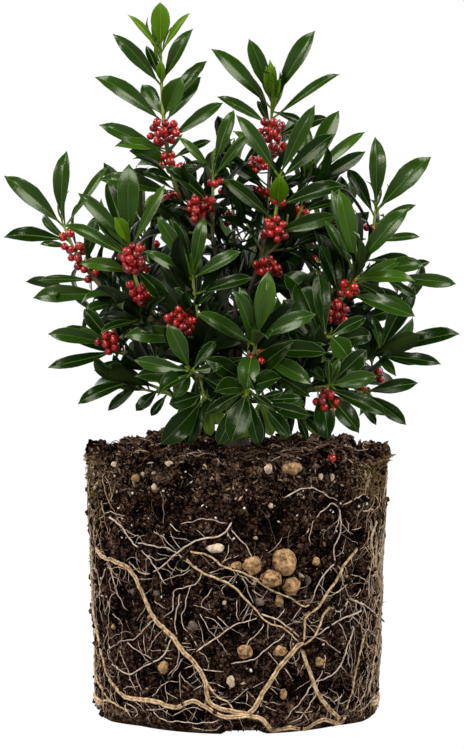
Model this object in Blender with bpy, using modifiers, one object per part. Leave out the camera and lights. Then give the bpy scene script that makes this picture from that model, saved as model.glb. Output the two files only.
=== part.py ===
"""Needlepoint holly lifted out of its nursery pot: a leafy, berried shrub on its bare, root-bound ball of soil.

Metres, +Z up. The origin is the centre of the root ball's flat underside, and -Y is the front.
"""

import math
import random
from typing import NamedTuple

import bmesh
import bpy
from mathutils import Matrix, Vector, noise
from mathutils.bvhtree import BVHTree

MM = 0.001
UP = Vector((0.0, 0.0, 1.0))
FRONT = Vector((0.0, -1.0, 0.0))
GOLDEN_TURN = math.radians(137.5)
GAP = 0.3 * MM  # left between pieces that rest on each other

# Root ball, shaped by the pot that it grew in
BALL_HEIGHT = 0.250
BALL_TOP_RADIUS = 0.140
BALL_LOW_RADIUS = 0.132
FOOT_HEIGHT = 0.012
FOOT_RADIUS = 0.113
NOTCH_WIDTH = 0.037
NOTCH_DEPTH = 0.030
NOTCH_BEARINGS = (3, 93, 183, 273)
RIM_DROP = 0.005
WALL_SWELL = 0.0022
CLOD_SWELL = 0.0075
SOIL_SLOPE = 0.008  # the soil's top is this much lower at the back rim
BALL_TURNS = 32
SOIL_FLAT = 0.022  # the soil stays level this far round the trunk

# Trunk and boughs
TRUNK_TOP = 0.330
TRUNK_FLARE = 0.0135
FLARE_HEIGHT = 0.012
TRUNK_WAIST = 0.0088
TRUNK_TIP = 0.0078
TRUNK_LEAN = Vector((-0.002, -0.003, 0.0))
RING_HEIGHTS = {"low": 0.272, "middle": 0.292, "high": 0.312}
TOP_BEARINGS = {"crown_left": -110, "crown_right": 110, "back_top": 0}
TOP_OFFSET = 0.0043
BOUGH_START = 0.0033
BOUGH_TIP = 0.0024
BOUGH_LEAD = 0.003
FORK_OUT = 0.45
FORK_RISE = 0.28
FORK_RISE_TOP = 0.45
NECK = 0.009
TRUNK_SIDES = 12
BOUGH_SIDES = 6

# Shoots
STEM_TIP = 0.0011
STEM_THICKENING = 0.012  # radius gained for each metre below the bud
STEM_KNEE = 0.56
STEM_KNOTS = 7
CROWN_FOOT = 0.28
LEAN_LOW = 115
LEAN_PER_RISE = 2.0
LEAN_TOP = 3
LEAN_MOST = 95
WHORL_STEP = 0.030
NODE_STEP = 0.0055
SPREADS = (22, 40, 54, 66, 78)
SPREAD_STEP = 5
FACE_AXIS = 0.35  # how far a leaf's face turns to its bud and to the sky, beside 1 to the light
FACE_UP = 0.45
MOST_TILT = 42
WIDEST_GAP = 92

# Leaves and berries
LEAF_LENGTH = 0.069
LEAF_WIDTH = 0.0205
LEAF_THICKNESS = 0.0010
LEAF_NARROWING = 0.45
LEAF_FOLD = 0.30
LEAF_ARCH = 0.045
FLUSH_SCALE = 0.72
ROOT_SINK = 0.0006  # how far past the stem's middle a leaf starts
BLADE_START = 0.24
LEAF_SPARE = 0.0005
TILT_TRIES = (0, 12, -12, 24, -24, 36)
TURN_TRIES = (0, 18, -18, 36, -36)
BERRY_RADIUS = 0.0064
BERRY_OUT = 0.0068
CLUSTER_STEP = 0.0064


class Shoot(NamedTuple):
    """One leafy shoot: its mass, its bud in mm, its leaves' bearings and its clusters of berries.

    Bearings are as seen from the front, in degrees clockwise from straight up, one row for each whorl from the bud
    down. The shoot's unseen side is filled by rule. A cluster is (mm below the bud, berries). A flush is the short
    pale growth of spring.
    """

    mass: str
    bud: tuple
    whorls: tuple
    clusters: tuple = ()
    flush: bool = False


SHOOTS = {
    "leader_left": Shoot(
        "crown_left", (-70, 10, 615),
        ((-1, -40, 34), (-39, -15, 28), (-53, -18, 38), (-68, 48, -30), (-78, 62, -55)),
        ((76, 5), (110, 2)), True,
    ),
    "centre_high": Shoot("crown_left", (-22, -10, 506), ((18, -39, 45), (-43, 70)), ((34, 5),)),
    "leader_right": Shoot(
        "crown_right", (32, 25, 570), ((-20, -51, 31), (-58, 64, -12), (-72, 55, 12), (-60, 68)), ((33, 5),),
    ),
    "upper_front": Shoot(
        "crown_right", (38, -35, 503), ((-36, 28, 178), (-63, 73, 100), (-80, 84)), ((22, 2), (46, 3), (82, 1)), True,
    ),
    "upper_right": Shoot("crown_right", (62, 5, 492), ((25, 49, -8), (63, 86)), ((30, 1),)),
    "far_left": Shoot("left_side", (-151, 0, 457), ((4, -51, -96), (26, -70), (-93, -40)), ((28, 4),)),
    "left_mid": Shoot("left_side", (-98, -55, 442), ((0, -45, 34), (-64, -12, 60), (-84, 80)), ((24, 6),)),
    "left_low": Shoot("left_low", (-115, -25, 346), ((-79, -111, -30), (-60, -135, 10)), ((8, 3),)),
    "left_droop": Shoot("left_low", (-96, -35, 314), ((-114, -146, 165), (-95, 147))),
    "centre_left": Shoot("front_left", (-40, -90, 415), ((12, -31, 61), (-62, 94), (-95, 30)), ((42, 5),)),
    "low_left_front": Shoot("front_left", (-42, -135, 333), ((-27, -80, 42), (83, -137, -153), (-110, 120))),
    "centre_front": Shoot("front_low", (18, -130, 362), ((8, -66, 67), (-19, 103, -105)), ((20, 2),)),
    "low_front": Shoot("front_low", (9, -150, 316), ((168, -152, 136), (-164, 110, -112))),
    "right_high": Shoot("right_side", (128, 10, 469), ((4, 48, -34), (86, -60), (95, -80)), ((19, 1),)),
    "right_front": Shoot("right_side", (108, -60, 420), ((-14, 41, 102), (63, 87), (90, -70)), ((29, 5),)),
    "far_right": Shoot("right_low", (142, -20, 339), ((75, 24, 131), (99, 50, 148)), ((26, 2),)),
    "right_droop": Shoot("right_low", (115, -35, 303), ((132, 160, 100), (-165, 118))),
    "right_low_front": Shoot("front_right", (83, -110, 316), ((75, 16, -179), (120, -40, 150)), ((13, 4),)),
    "inner_right": Shoot("front_right", (83, -75, 359), ((141, -20, 60), (115, -70))),
    "back_top": Shoot("back_top", (-4, 78, 508), ((), (), ()), ((30, 3),)),
    "inner_left": Shoot("back_top", (-38, 48, 428), ((), ())),
    "inner_right_back": Shoot("back_top", (36, 52, 414), ((), ())),
    "back_left_high": Shoot("back_left", (-88, 92, 452), ((), (), ()), ((28, 3),)),
    "back_left_low": Shoot("back_left", (-128, 72, 362), ((), ())),
    "back_right_high": Shoot("back_right", (80, 98, 446), ((), (), ()), ((28, 3),)),
    "back_right_low": Shoot("back_right", (132, 78, 358), ((), ())),
    "back_high": Shoot("back_low", (4, 138, 402), ((), ()), ((22, 2),)),
    "back_low_left": Shoot("back_low", (-62, 136, 330), ((), ())),
    "back_low_right": Shoot("back_low", (66, 138, 326), ((), ())),
}

# Where each mass's bough leaves the trunk
BOUGH_RINGS = {
    "crown_left": "top",
    "crown_right": "top",
    "back_top": "top",
    "left_side": "high",
    "front_low": "high",
    "right_side": "high",
    "back_right": "high",
    "front_left": "middle",
    "right_low": "middle",
    "back_left": "middle",
    "left_low": "low",
    "front_right": "low",
    "back_low": "low",
}


class Root(NamedTuple):
    """A root on the ball's wall: its radius in mm and its route, as (bearing in degrees, height in mm)."""

    radius: float
    route: tuple


# Bearings run from the front, 0, towards +X
ROOTS = {
    "main_left": Root(2.5, ((-64, 157), (-49, 152), (-40, 139), (-30, 101), (-20, 75), (-13, 53), (-9, 23))),
    "main_right": Root(2.1, ((52, 162), (43, 145), (34, 116), (27, 87), (21, 75), (11, 50), (5, 24))),
    "left_edge": Root(1.7, ((-68, 187), (-71, 130), (-77, 100), (-67, 57), (-56, 33), (-32, 28), (-13, 28))),
    "right_fork": Root(1.5, ((26, 82), (30, 56), (38, 26), (56, 16))),
    "right_edge": Root(1.6, ((56, 186), (67, 150), (66, 95), (63, 40), (52, 12))),
    "crossing": Root(1.5, ((-41, 173), (-24, 167), (-10, 147), (5, 122), (15, 103), (24, 87))),
    "upper_left": Root(1.4, ((-3, 190), (-17, 178), (-27, 157), (-40, 146))),
    "right_loop": Root(1.4, ((28, 131), (38, 165), (42, 207), (28, 196), (18, 220))),
}
BASE_ROOT_RADIUS = 0.0022
BASE_ROOT_HEIGHT = 0.017
BASE_ROOT_SWAY = 0.006
BASE_ROOT_STEPS = 18
BACK_ROOTS = 6
BACK_ROOT_RADIUS = 0.0018
ROOT_SIDES = 4

# Stones in the soil's face, as (bearing in degrees, height in mm, radius in mm)
STONES = (
    (18, 159, 9), (12, 145, 8), (21, 138, 7), (10, 160, 6.5), (29, 158, 5.5), (-8, 173, 6), (3, 78, 7), (17, 78, 6),
    (-30, 62, 5.5), (-2, 53, 5.5), (21, 243, 9), (-37, 234, 4.5), (17, 122, 4.5), (150, 190, 7), (205, 120, 8),
    (240, 60, 6), (110, 90, 7),
)


def plain_material(name, colour, roughness):
    """A plain opaque material."""
    material = bpy.data.materials.new(name)
    material.use_nodes = True
    shader = material.node_tree.nodes["Principled BSDF"]
    shader.inputs["Base Color"].default_value = (*colour, 1.0)
    shader.inputs["Roughness"].default_value = roughness
    shader.inputs["Metallic"].default_value = 0.0
    material.diffuse_color = (*colour, 1.0)
    return material


def clear_scene():
    for old in list(bpy.data.objects):
        bpy.data.objects.remove(old)


def new_collection(name):
    collection = bpy.data.collections.new(name)
    bpy.context.scene.collection.children.link(collection)
    return collection


def new_object(name, mesh, collection, materials=()):
    piece = bpy.data.objects.new(name, mesh)
    for material in materials:
        mesh.materials.append(material)
    collection.objects.link(piece)
    return piece


def evaluated_mesh(piece):
    """The mesh that the object shows."""
    bpy.context.view_layer.update()
    graph = bpy.context.evaluated_depsgraph_get()
    return bpy.data.meshes.new_from_object(piece.evaluated_get(graph))


def welded(mesh):
    """The mesh with its loose caps and seams welded and its faces turned out."""
    form = bmesh.new()
    form.from_mesh(mesh)
    bmesh.ops.remove_doubles(form, verts=form.verts, dist=1e-6)
    bmesh.ops.recalc_face_normals(form, faces=form.faces)
    form.to_mesh(mesh)
    form.free()
    return mesh


def ring_section(sides):
    """A flat ring of the given number of sides, which a tube follows."""
    curve = bpy.data.curves.new("ring_section", "CURVE")
    spline = curve.splines.new("POLY")
    spline.points.add(sides - 1)
    spline.use_cyclic_u = True
    for index, knot in enumerate(spline.points):
        turn = math.tau * index / sides
        knot.co = (math.cos(turn), math.sin(turn), 0.0, 1.0)
    section = bpy.data.objects.new("ring_section", curve)
    bpy.context.scene.collection.objects.link(section)
    return section


def tube_mesh(name, points, radii, sides=3):
    """A closed tapering tube along the points."""
    section = ring_section(sides)
    curve = bpy.data.curves.new(name, "CURVE")
    curve.dimensions = "3D"
    curve.bevel_mode = "OBJECT"
    curve.bevel_object = section
    curve.use_fill_caps = True
    spline = curve.splines.new("POLY")
    spline.points.add(len(points) - 1)
    for knot, point, radius in zip(spline.points, points, radii):
        knot.co = (*point, 1.0)
        knot.radius = radius
    guide = bpy.data.objects.new(name, curve)
    bpy.context.scene.collection.objects.link(guide)
    mesh = welded(evaluated_mesh(guide))
    bpy.data.objects.remove(guide)
    bpy.data.objects.remove(section)
    return mesh


def bend(start, knee, end, count):
    """Points along a quadratic curve."""
    steps = [i / (count - 1) for i in range(count)]
    return [start * (1 - t) ** 2 + knee * (2 * t * (1 - t)) + end * t**2 for t in steps]


# The root ball


def wall_radius(height):
    """The pot's taper."""
    share = (height - FOOT_HEIGHT) / (BALL_HEIGHT - FOOT_HEIGHT)
    return BALL_LOW_RADIUS + (BALL_TOP_RADIUS - BALL_LOW_RADIUS) * share


def soil_shift(point):
    """How far the soil's face stands from the plain turned form: swells on the wall, and clods on the top."""
    out = Vector((point.x, point.y, 0.0))
    on_top = min(max((point.z - BALL_HEIGHT + 2 * RIM_DROP) / RIM_DROP, 0.0), 1.0)
    off_foot = min(max((point.z - FOOT_HEIGHT) / FOOT_HEIGHT, 0.0), 1.0)
    away = min(max((out.length - SOIL_FLAT) / SOIL_FLAT, 0.0), 1.0)
    swell = WALL_SWELL * noise.noise(point * 28) * off_foot * min(1.0, out.length / FOOT_RADIUS) ** 4
    clod = CLOD_SWELL * max(0.0, noise.noise(point * 38 + UP * 3)) * on_top * away
    slope = SOIL_SLOPE * min(max(point.y / BALL_TOP_RADIUS, 0.0), 1.0) * on_top * away
    return out.normalized() * swell + UP * (clod - slope)


def wall_point(bearing, height):
    """The point of the wall at a bearing from the front, in degrees, and a height in mm."""
    angle = math.radians(bearing)
    height = height * MM
    out = Vector((math.sin(angle), -math.cos(angle), 0.0))
    point = out * wall_radius(height) + UP * height
    return point + soil_shift(point)


def ball_profile():
    """Down the outer side, from the middle of the top to the middle of the underside."""
    rings = 6
    top = [(radius, BALL_HEIGHT) for radius in (0.0, SOIL_FLAT, 0.055, 0.090, 0.117, BALL_TOP_RADIUS - RIM_DROP)]
    top.append((BALL_TOP_RADIUS, BALL_HEIGHT - RIM_DROP))
    heights = [BALL_HEIGHT - RIM_DROP - i * (BALL_HEIGHT - RIM_DROP - 0.025) / rings for i in range(1, rings + 1)]
    wall = [(wall_radius(height), height) for height in heights]
    foot = [(BALL_LOW_RADIUS, FOOT_HEIGHT), (FOOT_RADIUS, FOOT_HEIGHT), (FOOT_RADIUS, 0.0), (0.0, 0.0)]
    return top + wall + foot


def ball_body(collection):
    profile = ball_profile()
    mesh = bpy.data.meshes.new("ball_profile")
    mesh.from_pydata([(r, 0.0, z) for r, z in profile], [(i, i + 1) for i in range(len(profile) - 1)], [])
    piece = new_object("ball_body", mesh, collection)
    screw = piece.modifiers.new("turn", "SCREW")
    screw.steps = BALL_TURNS
    screw.render_steps = BALL_TURNS
    screw.use_merge_vertices = True
    screw.merge_threshold = 1e-5
    turned = welded(evaluated_mesh(piece))
    for vertex in turned.vertices:
        vertex.co += soil_shift(vertex.co)
    bpy.data.objects.remove(piece)
    return turned


def drain_notch(bearing):
    """A cutter for the mark that a drain hole left in the foot's edge."""
    angle = math.radians(bearing)
    form = bmesh.new()
    bmesh.ops.create_cube(form, size=1.0)
    size = Matrix.Diagonal((NOTCH_WIDTH, NOTCH_DEPTH, 2 * FOOT_HEIGHT, 1.0))
    place = Matrix.Rotation(angle, 4, "Z") @ Matrix.Translation((0.0, -FOOT_RADIUS, 0.0)) @ size
    bmesh.ops.transform(form, matrix=place, verts=form.verts)
    mesh = bpy.data.meshes.new("drain_notch")
    form.to_mesh(mesh)
    form.free()
    return mesh


def stone_mesh(index, bearing, height, radius):
    """A water-worn stone, half sunk in the soil."""
    form = bmesh.new()
    bmesh.ops.create_icosphere(form, subdivisions=1, radius=radius * MM)
    turn = Matrix.Rotation(GOLDEN_TURN * index, 4, "X") @ Matrix.Rotation(index, 4, "Z")
    flat = Matrix.Diagonal((1.0, 0.82, 0.9, 1.0))
    bmesh.ops.transform(form, matrix=Matrix.Translation(wall_point(bearing, height)) @ flat @ turn, verts=form.verts)
    mesh = bpy.data.meshes.new("stone")
    form.to_mesh(mesh)
    form.free()
    return mesh


def root_routes():
    """Every thick root, as its radius and the places that it passes."""
    for root in ROOTS.values():
        places = [Vector((bearing, height, 0.0)) for bearing, height in root.route]
        yield root.radius * MM, [wall_point(place.x, place.y) for place in places]
    chance = random.Random(5)
    for index in range(BACK_ROOTS):
        bearing = 95 + 170 * (index + 0.5) / BACK_ROOTS
        height = 140 + 80 * chance.random()
        places = []
        while height > 24:
            places.append(Vector((bearing, height, 0.0)))
            bearing += chance.uniform(-13, 13)
            height -= chance.uniform(28, 42)
        yield BACK_ROOT_RADIUS, [wall_point(place.x, place.y) for place in places]


def base_root():
    """The root that circled the pot's floor, open at the front."""
    points = []
    for step in range(BASE_ROOT_STEPS + 1):
        bearing = 14 + 332 * step / BASE_ROOT_STEPS
        height = BASE_ROOT_HEIGHT + BASE_ROOT_SWAY * noise.noise(Vector((step * 0.6, 2.0, 0.0)))
        points.append(wall_point(bearing, height / MM))
    return points


def root_ball(collection, helpers, material):
    """The soil, cut by the drain notches, with its stones and thick roots fused on."""
    body = new_object("root_ball", ball_body(helpers), collection)
    cutters = [new_object(f"notch_{b}", drain_notch(b), helpers) for b in NOTCH_BEARINGS]
    for cutter in cutters:
        cut = body.modifiers.new("notch", "BOOLEAN")
        cut.operation = "DIFFERENCE"
        cut.object = cutter
        cut.solver = "EXACT"
    form = evaluated_mesh(body)
    body.modifiers.clear()
    body.data = form
    for cutter in cutters:
        bpy.data.objects.remove(cutter)
    extras = [stone_mesh(index, *stone) for index, stone in enumerate(STONES)]
    for radius, points in root_routes():
        taper = [radius * (1.15 - 0.45 * i / (len(points) - 1)) for i in range(len(points))]
        extras.append(tube_mesh("root", points, taper, ROOT_SIDES))
    ring = base_root()
    extras.append(tube_mesh("root", ring, [BASE_ROOT_RADIUS] * len(ring), ROOT_SIDES))
    fuse(body, extras, helpers)
    body.data.materials.clear()
    body.data.materials.append(material)
    return body


# Joining


def islands(form):
    """The connected pieces of a mesh, as lists of faces."""
    found = []
    seen = set()
    for first in form.faces:
        if first in seen:
            continue
        seen.add(first)
        group = [first]
        for face in group:
            for edge in face.edges:
                if len(edge.link_faces) != 2:
                    continue
                for other in edge.link_faces:
                    if other not in seen:
                        seen.add(other)
                        group.append(other)
        found.append(group)
    return found


def signed_volume(faces):
    total = 0.0
    for face in faces:
        corners = [loop.vert.co for loop in face.loops]
        for b, c in zip(corners[1:], corners[2:]):
            total += corners[0].dot(b.cross(c)) / 6
    return total


def keep_main_body(mesh):
    """Drops loose scraps and fills sealed hollows, which are closed sheets apart from the main one."""
    form = bmesh.new()
    form.from_mesh(mesh)
    groups = sorted(islands(form), key=signed_volume)
    for group in groups[:-1]:
        bmesh.ops.delete(form, geom=group, context="FACES")
    form.to_mesh(mesh)
    form.free()


def fuse(piece, meshes, helpers):
    """One Boolean union of the object with all the meshes."""
    extras = new_collection("extras")
    for mesh in meshes:
        new_object("extra", mesh, extras)
    union = piece.modifiers.new("union", "BOOLEAN")
    union.operation = "UNION"
    union.operand_type = "COLLECTION"
    union.collection = extras
    union.solver = "MANIFOLD"
    mesh = evaluated_mesh(piece)
    keep_main_body(mesh)
    piece.modifiers.clear()
    piece.data = mesh
    for extra in list(extras.objects):
        bpy.data.objects.remove(extra)
    bpy.data.collections.remove(extras)


# Trunk and boughs


def trunk_centre(height):
    return TRUNK_LEAN * ((height - BALL_HEIGHT) / (TRUNK_TOP - BALL_HEIGHT)) + UP * height


def trunk(collection, material):
    """A short stem with a root flare, from a flat cut on the soil to a flat fork."""
    heights = (BALL_HEIGHT + GAP, BALL_HEIGHT + 0.4 * FLARE_HEIGHT, BALL_HEIGHT + FLARE_HEIGHT, TRUNK_TOP)
    radii = (TRUNK_FLARE, (TRUNK_FLARE + 2 * TRUNK_WAIST) / 3, TRUNK_WAIST, TRUNK_TIP)
    points = [trunk_centre(height) for height in heights]
    points[0] = Vector((points[1].x, points[1].y, heights[0]))
    mesh = tube_mesh("trunk", points, radii, TRUNK_SIDES)
    return new_object("trunk", mesh, collection, (material,))


def trunk_radius(height):
    share = (height - BALL_HEIGHT - FLARE_HEIGHT) / (TRUNK_TOP - BALL_HEIGHT - FLARE_HEIGHT)
    return TRUNK_WAIST + (TRUNK_TIP - TRUNK_WAIST) * share


def mass_middle(mass):
    buds = [Vector(shoot.bud) * MM for shoot in SHOOTS.values() if shoot.mass == mass]
    return sum(buds, Vector()) / len(buds)


def bough_route(mass):
    """Points along the bough that carries a mass, from the trunk to the mass."""
    middle = mass_middle(mass)
    out = Vector((middle.x, middle.y, 0.0)).normalized()
    ring = BOUGH_RINGS[mass]
    if ring == "top":
        turn = math.radians(TOP_BEARINGS[mass])
        start = trunk_centre(TRUNK_TOP) + UP * GAP + Vector((math.sin(turn), math.cos(turn), 0.0)) * TOP_OFFSET
        way, rise = UP, FORK_RISE_TOP
    else:
        start = trunk_centre(RING_HEIGHTS[ring])
        start += out * (trunk_radius(start.z) + GAP)
        way, rise = out, FORK_RISE
    fork = Vector((middle.x * FORK_OUT, middle.y * FORK_OUT, start.z + (middle.z - start.z) * rise))
    bent = bend(start + way * BOUGH_LEAD, start + way * (fork - start).length * 0.45, fork, 4)
    return [start, *bent]


def bough(mass, collection, material):
    points = bough_route(mass)
    last = len(points) - 1
    radii = [BOUGH_START + (BOUGH_TIP - BOUGH_START) * i / last for i in range(last + 1)]
    mesh = tube_mesh("bough", points, radii, BOUGH_SIDES)
    return new_object(f"bough_{mass}", mesh, collection, (material,))


# Growth of a mass


class Stem(NamedTuple):
    """A shoot's stem, from the mass's foot to the bud."""

    points: list
    axis: Vector

    def below(self, distance):
        """The place this far below the bud, or None past the stem's foot, and the stem's way there."""
        for upper, lower in zip(reversed(self.points), reversed(self.points[:-1])):
            span = (upper - lower).length
            if distance <= span:
                return upper.lerp(lower, distance / span), (upper - lower).normalized()
            distance -= span
        return None

    def radii(self):
        """The stem's radius at each of its points, growing with the distance below the bud."""
        found = [STEM_TIP]
        for upper, lower in zip(reversed(self.points), reversed(self.points[:-1])):
            found.append(min(found[-1] + STEM_THICKENING * (upper - lower).length, BOUGH_TIP))
        return found[::-1]


class Leaf(NamedTuple):
    root: Vector
    way: Vector
    face: Vector
    length: float


def shoot_axis(bud):
    """The way a shoot points at its bud: upright high in the crown, and leaning out and down lower."""
    out = Vector((bud.x, bud.y, 0.0))
    rise = math.degrees(math.atan2(bud.z - CROWN_FOOT, out.length))
    lean = math.radians(min(max(LEAN_LOW - LEAN_PER_RISE * rise, LEAN_TOP), LEAN_MOST))
    return out.normalized() * math.sin(lean) + UP * math.cos(lean)


def mass_neck(mass):
    """The mass's foot, just clear of its bough's tip, and the place where its shoots part."""
    points = bough_route(mass)
    way = (points[-1] - points[-2]).normalized()
    return points[-1] + way * GAP, points[-1] + way * NECK


def shoot_stem(shoot):
    bud = Vector(shoot.bud) * MM
    axis = shoot_axis(bud)
    _, foot = mass_neck(shoot.mass)
    knee = bud - axis * (bud - foot).length * STEM_KNEE
    return Stem(bend(foot, knee, bud, STEM_KNOTS), axis)


def seen_way(axis, bearing, spread, behind, more):
    """The way of a leaf that shows this bearing from the front and stands off the axis by the spread.

    More turns it towards the front, or behind the shoot away from it, and leaves its bearing as it is.
    """
    flat = Vector((math.sin(math.radians(bearing)), 0.0, math.cos(math.radians(bearing))))
    along = flat.dot(axis)
    towards = FRONT.dot(axis)
    middle = math.atan2(towards, along)
    swing = math.acos(min(1.0, math.cos(math.radians(spread)) / max(math.hypot(along, towards), 1e-6)))
    most = math.radians(MOST_TILT)
    side = -1 if behind else 1
    tilt = min(max(middle + side * swing, -most), most) + side * math.radians(more)
    return flat * math.cos(tilt) + FRONT * math.sin(tilt)


def side_frame(axis):
    side = axis.cross(Vector((0.3, 1.0, 0.2))).normalized()
    return side, axis.cross(side)


def turn_of(axis, way):
    """The leaf's place round the axis, as an angle."""
    side, other = side_frame(axis)
    return math.atan2(way.dot(other), way.dot(side)) % math.tau


def way_at(axis, turn, spread):
    side, other = side_frame(axis)
    out = side * math.cos(turn) + other * math.sin(turn)
    return axis * math.cos(math.radians(spread)) + out * math.sin(math.radians(spread))


def fill_turns(turns, start, widest):
    """Turns for more leaves, put in the middle of each gap that is still wider than the widest."""
    taken = sorted(turns) or [start]
    added = [] if turns else [start]
    while True:
        gaps = [((b - a) % math.tau or math.tau, a) for a, b in zip(taken, taken[1:] + taken[:1])]
        gap, after = max(gaps)
        if gap <= widest:
            return added
        added.append((after + gap / 2) % math.tau)
        taken = sorted([*taken, added[-1]])


def leaves_at(stem, depth, ways, length, light):
    """The same leaf in each of the ways that it may take, in order of choice, with its face to the light."""
    node, axis = stem.below(depth)
    upper = axis * FACE_AXIS + UP * FACE_UP + light
    found = []
    for way in ways:
        face = (upper - way * upper.dot(way)).normalized()
        found.append(Leaf(node - way * ROOT_SINK, way, face, length))
    return found


def shoot_leaves(name, shoot, stem):
    """The leaves that show from the front, and those that fill the shoot's other side, each as its choices."""
    chance = random.Random(name)
    seen = []
    hidden = []
    for row, bearings in enumerate(shoot.whorls):
        spread = SPREADS[row]
        if stem.below(row * WHORL_STEP) is None:
            break
        axis = stem.below(row * WHORL_STEP)[1]
        own = math.degrees(math.atan2(axis.x, axis.z))
        whorl = []
        turns = []
        for index, bearing in enumerate(bearings):
            behind = abs((bearing - own + 180) % 360 - 180) < 30 or index % 2 == 1
            off = spread + index * SPREAD_STEP
            whorl.append((seen, [seen_way(axis, bearing, off, behind, tilt) for tilt in TILT_TRIES]))
            turns.append(turn_of(axis, whorl[-1][1][0]))
        for turn in fill_turns(turns, row * GOLDEN_TURN + chance.random(), math.radians(WIDEST_GAP)):
            off = spread * chance.uniform(1.1, 1.4)
            turn += chance.uniform(-0.2, 0.2)
            whorl.append((hidden, [way_at(axis, turn + math.radians(more), off) for more in TURN_TRIES]))
        outward = Vector((stem.points[-1].x, stem.points[-1].y, 0.0)).normalized()
        for index, (group, ways) in enumerate(whorl):
            scale = FLUSH_SCALE if shoot.flush and row == 0 else 1.0
            length = LEAF_LENGTH * scale * chance.uniform(0.94, 1.06)
            depth = row * WHORL_STEP + index * NODE_STEP
            if stem.below(depth):
                light = FRONT if group is seen else outward
                group.append(leaves_at(stem, depth, ways, length, light))
    return seen, hidden


def shoot_berries(name, shoot, stem):
    """The centres of the berries, which sit close round the stem below the youngest leaves."""
    chance = random.Random(name + "_berries")
    berries = []
    for depth, count in shoot.clusters:
        turn = chance.random() * math.tau
        for index in range(count):
            place = stem.below(depth * MM + (index - (count - 1) / 2) * CLUSTER_STEP)
            if place is None:
                continue
            node, axis = place
            turn += GOLDEN_TURN
            out = way_at(axis, turn, 78)
            berries.append(node + out * BERRY_OUT)
    return berries


# Meshes of leaves and berries


def leaf_mesh(leaf, spare=0.0, start=0.0):
    """A flat six-sided double pyramid bent into a leaf: folded up along its midrib and arched along its length."""
    form = bmesh.new()
    bmesh.ops.create_uvsphere(form, u_segments=6, v_segments=2, radius=1.0)
    width = leaf.length / LEAF_LENGTH * LEAF_WIDTH + 2 * spare
    length = leaf.length + spare
    side = leaf.face.cross(leaf.way)
    for vertex in form.verts:
        along = max((vertex.co.y + 1) / 2, start)
        across = vertex.co.x * (1.15 - LEAF_NARROWING * along)
        lift = abs(across) * LEAF_FOLD * width / 2 + LEAF_ARCH * length * 4 * along * (1 - along)
        lift += vertex.co.z * (LEAF_THICKNESS / 2 + spare)
        vertex.co = leaf.root + leaf.way * (along * length) + side * (across * width / 2) + leaf.face * lift
    if form.calc_volume(signed=True) < 0:
        bmesh.ops.reverse_faces(form, faces=form.faces)
    mesh = bpy.data.meshes.new("leaf")
    form.to_mesh(mesh)
    form.free()
    return mesh


def berry_mesh(centre, spare=0.0):
    form = bmesh.new()
    bmesh.ops.create_icosphere(form, subdivisions=1, radius=BERRY_RADIUS + spare)
    bmesh.ops.translate(form, vec=centre, verts=form.verts)
    mesh = bpy.data.meshes.new("berry")
    form.to_mesh(mesh)
    form.free()
    return mesh


class Taken(NamedTuple):
    """Space that a piece fills, for the test that keeps masses apart and leaves from crossing."""

    owner: str
    kind: str
    centre: Vector
    reach: float
    tree: BVHTree


def tree_of(mesh):
    points = [vertex.co.copy() for vertex in mesh.vertices]
    tree = BVHTree.FromPolygons(points, [tuple(polygon.vertices) for polygon in mesh.polygons])
    bpy.data.meshes.remove(mesh)
    return tree, points


def taken_by(owner, kind, mesh):
    tree, points = tree_of(mesh)
    centre = sum(points, Vector()) / len(points)
    return Taken(owner, kind, centre, max((point - centre).length for point in points), tree)


def clashes(space, blade, taken):
    """Whether the space crosses what is taken: all of it with other masses, and its blade with its own mass."""
    for other in taken:
        if (other.centre - space.centre).length > other.reach + space.reach:
            continue
        if other.owner != space.owner:
            if other.tree.overlap(space.tree):
                return True
        elif blade and other.tree.overlap(blade):
            return True
        elif space.kind == "berry" and other.kind != "stem" and other.tree.overlap(space.tree):
            return True
    return False


def tag(mesh, slot):
    """Gives all faces the material slot."""
    for polygon in mesh.polygons:
        polygon.material_index = slot
    return mesh


LEAF_SLOT, BERRY_SLOT, TWIG_SLOT = 0, 1, 2


def stems_of_mass(mass):
    """The neck and the stems of a mass, as meshes, and each shoot's stem."""
    foot, part = mass_neck(mass)
    meshes = [tube_mesh("neck", (foot, part), (BOUGH_TIP, BOUGH_TIP))]
    stems = {}
    for name, shoot in SHOOTS.items():
        if shoot.mass != mass:
            continue
        stem = shoot_stem(shoot)
        meshes.append(tube_mesh("stem", stem.points, stem.radii()))
        stems[name] = stem
    return meshes, stems


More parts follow.
